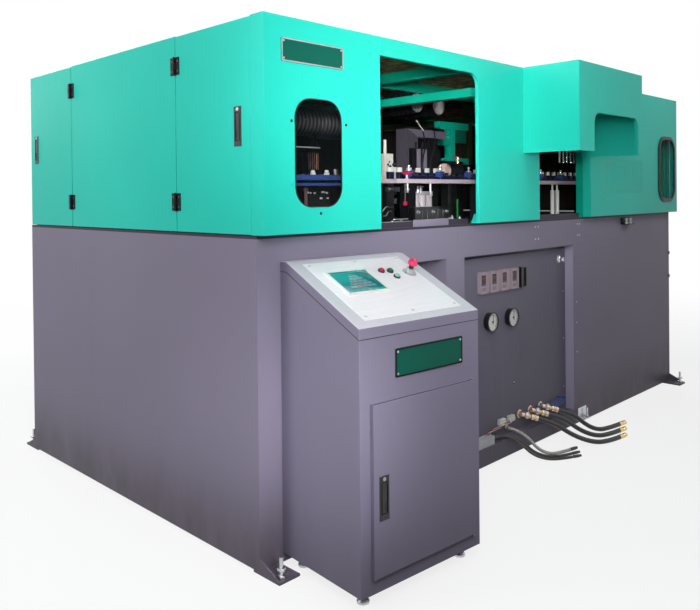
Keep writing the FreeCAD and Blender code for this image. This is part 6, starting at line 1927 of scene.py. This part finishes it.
@dataclass
class DeckUnits:
    """The small units on the deck and what shows of them through the openings."""

    studs: tuple[Point, ...] = ((740, 90, 46), (905, 88, 30), (985, 100, 34), (1362, 84, 34), (1394, 92, 44),
                                (1466, 94, 36))
    pipe_routes: tuple[tuple[Point, ...], ...] = (
        ((1104, 330, 1398), (1120, 328, 1420), (1143, 326, 1430), (1168, 330, 1416), (1194, 332, 1422)),
        ((1110, 330, 1376), (1126, 326, 1372), (1140, 326, 1386), (1150, 330, 1404), (1180, 332, 1398)))
    island_first: float = 1074.0
    island_pitch: float = 43.0
    bosses: tuple[Point, ...] = ((1206, 1622, 10), (1266, 1622, 10), (1206, 1580, 12), (1262, 1584, 14),
                                 (1216, 1690, 8), (1246, 1672, 12))
    hole_shades: tuple[Point, ...] = ((1232, 1640, 10), (1238, 1606, 8), (1214, 1652, 7), (1256, 1652, 8),
                                (1244, 1585, 7), (1224, 1667, 5))
    casting_face: float = 384.8
    sensors: tuple[Point, ...] = ((574, 1502, 10), (590, 1500, 8), (612, 1499, 14), (664, 1504, 22),
                                  (692, 1500, 14), (654, 1474, 16), (700, 1474, 12))
    duct_line: float = 330.0
    oven_first: float = 1102.0

    def build(self) -> None:
        """Dresses the units and adds their details."""
        dress("air_duct", DUCT_RUBBER)
        self.dress_units()
        self.kerb_and_island()
        self.deck_fittings()
        self.air_pipes()
        self.casting_details()
        self.duct_stay()
        self.guide_post()
        self.oven_end()

    def dress_units(self) -> None:
        """Dresses the small units on the deck, each by where its faces lie."""
        def within(x0: float, x1: float, y0: float, y1: float, z0: float = 1.33, z1: float = 2.2) -> FaceTest:
            """A test for faces inside a block in the row's frame."""
            return lambda c, n: x0 < c.x < x1 and y0 < c.y < y1 and z0 < c.z < z1

        def lamp_tube(c: Vector, n: Vector) -> bool:
            """A face round one of the oven's lamps."""
            return (-1.71 < c.x < -1.08 and 0.175 < c.y < 0.276 and 1.39 < c.z < 1.74
                    and abs(n.x) < 0.5 and abs(n.y) < 0.999 and abs(n.z) < 0.999)

        dress("process_units", DARK_STEEL,
              (BOWL_COAT, within(-0.625, -0.425, -0.70, -0.61, 1.402)),
              (RED_PLASTIC, within(-0.70, -0.64, -0.74, -0.67, 1.56)),
              (CASTING_PAINT, within(-0.88, -0.75, -0.70, -0.60, 1.575)),
              (DRIVE_PAINT, within(-0.365, -0.334, -0.75, -0.62, 1.6)),
              (BLACK_PAINT_AND_SHADE, within(-0.335, -0.20, -0.75, -0.62, 1.56)),
              (ZINC, within(-1.73, -1.06, 0.15, 0.30)),
              (LAMP_QUARTZ, lamp_tube),
              (CYLINDER_PAINT, within(-0.245, -0.188, -0.69, -0.63)),
              (WHITE_PLASTIC, within(0.53, 0.63, -0.91, -0.87)),
              (STEEL, within(0.636, 0.945, -1.02, -0.83, 1.68)))

    def kerb_and_island(self) -> None:
        """Makes the kerb's step and bright edge, the black valve island and the green gusset on the sill."""
        Shape().box((963, 1.2, ON_DECK), (1243, 5.7, 1365), 0.8).finish("kerb_step", CABINET_PAINT)
        Shape().box((694, 8, 1358.2), (961, 22, 1360.6), 0.8).finish("kerb_edge", ZINC)
        island = Shape().box((self.island_first - 8, 74, ON_DECK), (1330, 112, 1424), 3.0)
        for number in range(6):
            x = self.island_first + number * self.island_pitch
            island.box((x, 71, 1338), (x + 33, 75, 1412), 1.5, 1)
        island.finish("valve_island", BLACK_PLASTIC)
        gusset = Shape().plate([(1498, 1330.4), (1540, 1330.4), (1540, 1380), (1528, 1380)], 14, 44,
                               bevel=1.0)
        gusset.finish("sill_gusset", COVER_PAINT)

    def deck_fittings(self) -> None:
        """Makes the studs, caps, rods, nipples and strips along the deck's front, in one piece."""
        shape = Shape()
        for x, y, tall in self.studs:
            profile = stack((13, 6), (8, tall * 0.5), (11, tall * 0.8), (6, tall))
            shape.turned(profile, (x, y, ON_DECK), steps=20)
        shape.each([(x, 74, 1398) for x in (1080, 1200, 1316)], stack((8, 6), (5, 16)), FORWARD, 16)
        for x, low in ((1178, 1498), (1371, 1480)):
            shape.drum((x, 218, low), 6, 1547.8 - low, sides=16, bevel=1.0)
            shape.drum((x, 218, low + 12), 11, 9, sides=6, bevel=0.8)
        shape.box((1188, 362, 1504), (1296, 384.6, 1531), 1.5)
        shape.each([(x, 362, 1518) for x in (1200, 1226, 1252, 1278)], stack((9, 6), (5, 18)), FORWARD, 16)
        shape.each([(x, 400, 1497) for x in (1486, 1512)], stack((7, 14), (11, 22), (5, 40)), steps=16)
        shape.drum((1478, 400, 1532), 4, 60, Axis.X, 12, 0.8)
        shape.box((880, 56, 1366), (990, 60, 1371), 0.8, 1).box((1070, 72, 1424.4), (1200, 76, 1429), 0.8, 1)
        shape.finish("deck_fittings", ZINC)

    def air_pipes(self) -> None:
        """Makes the two bent pipes beside the wheel's post."""
        for number, route in enumerate(self.pipe_routes, start=1):
            bent_rod(f"air_pipe_{number}", route, 3.4, ZINC)

    def casting_details(self) -> None:
        """Makes the bosses of the white transfer casting, and black discs as painted shade in its holes."""
        face, set_back, step = self.casting_face, 6.0, 1640
        bosses, hole_shades = Shape(), Shape()
        for x, z, radius in self.bosses:
            y = face if z < step else face + set_back
            bosses.turned(stack((radius, 5), (radius * 0.6, 11)), (x, y, z), FORWARD, 20)
        bosses.finish("casting_bosses", WHITE_PLASTIC)
        # Each hole is a shallow black disc: painted shade.
        for x, z, radius in self.hole_shades:
            hole_shades.turned([(0, 0), (radius, 0), (radius, 1.6), (radius * 0.8, 2.4), (0, 2.4)], (x, face, z),
                         FORWARD, 20)
        hole_shades.finish("casting_hole_shades", BLACK_PLASTIC)

    def duct_stay(self) -> None:
        """Makes the bright rod under the duct, behind the left window, and its two hangers."""
        Shape().drum((440, self.duct_line, 1718), 4, 215, Axis.X, 16, 0.8).finish("duct_stay", ZINC)
        hangers = Shape()
        for x in (470, 636):
            hangers.drum((x, self.duct_line, 1722.3), 3, 44, sides=12, bevel=0.5)
        hangers.finish("stay_hangers", BLACK_PAINT_AND_SHADE)

    def guide_post(self) -> None:
        """Makes the guide post and the sensor plate that stand behind the left window."""
        post = Shape().drum((533, 300, ON_DECK), 8, 190, sides=20, bevel=1.0)
        post.drum((533, 300, 1512), 12, 14, sides=6, bevel=1.0).finish("guide_post", POST_PAINT)
        Shape().box((560, 334, ON_DECK), (726, 340, 1522), 1.5).finish("sensor_plate", BLACK_PAINT_AND_SHADE)
        bits = Shape()
        for x, z, wide in self.sensors:
            bits.box((x, 330, z - 4), (x + wide, 334.1, z + 4), 1.0, 1)
        bits.finish("sensor_bits", ZINC)

    def oven_end(self) -> None:
        """Makes the oven's end wall with its ribs, and orange strips of painted glow between them."""
        ribs = Shape()
        for number in range(6):
            x, step = self.oven_first + number * 15, (number % 3) * 12
            ribs.box((x, 900, 1640), (x + 4, 904.9, 1740), 1.0, 1)
            ribs.box((x, 903, 1660 + step), (x + 11, 904.9, 1664 + step), 0.6, 1)
        ribs.finish("oven_ribs", RIB_SHEET)
        Shape().box((1096, 905, ON_DECK), (1190, 960, 1745), 2.0).finish("oven_end", BLACK_PAINT_AND_SHADE)
        # Orange strips that glow as painted light between the ribs.
        glow = Shape().box((1165, 902, 1650), (1170, 904.8, 1730), 0.5, 1)
        glow.box((1150, 902, 1650), (1152, 904.8, 1700), 0.4, 1).finish("oven_painted_glow_strips", OVEN_PAINTED_GLOW)


def main() -> None:
    """Builds the looks in order, from the camera and the cords to the machinery."""
    logging.basicConfig(level=logging.INFO, format="%(name)s: %(message)s")
    frame.update(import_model())
    for part in (Studio(), HosesAndCables(), Console(), ServicePanel(), Enclosure(), EndDoors(),
                 BaseCabinet(), Transfer(), StretchAndClamp(), DeckUnits()):
        part.build()
        LOG.info("%s done", type(part).__name__)


if __name__ == "__main__":
    main()
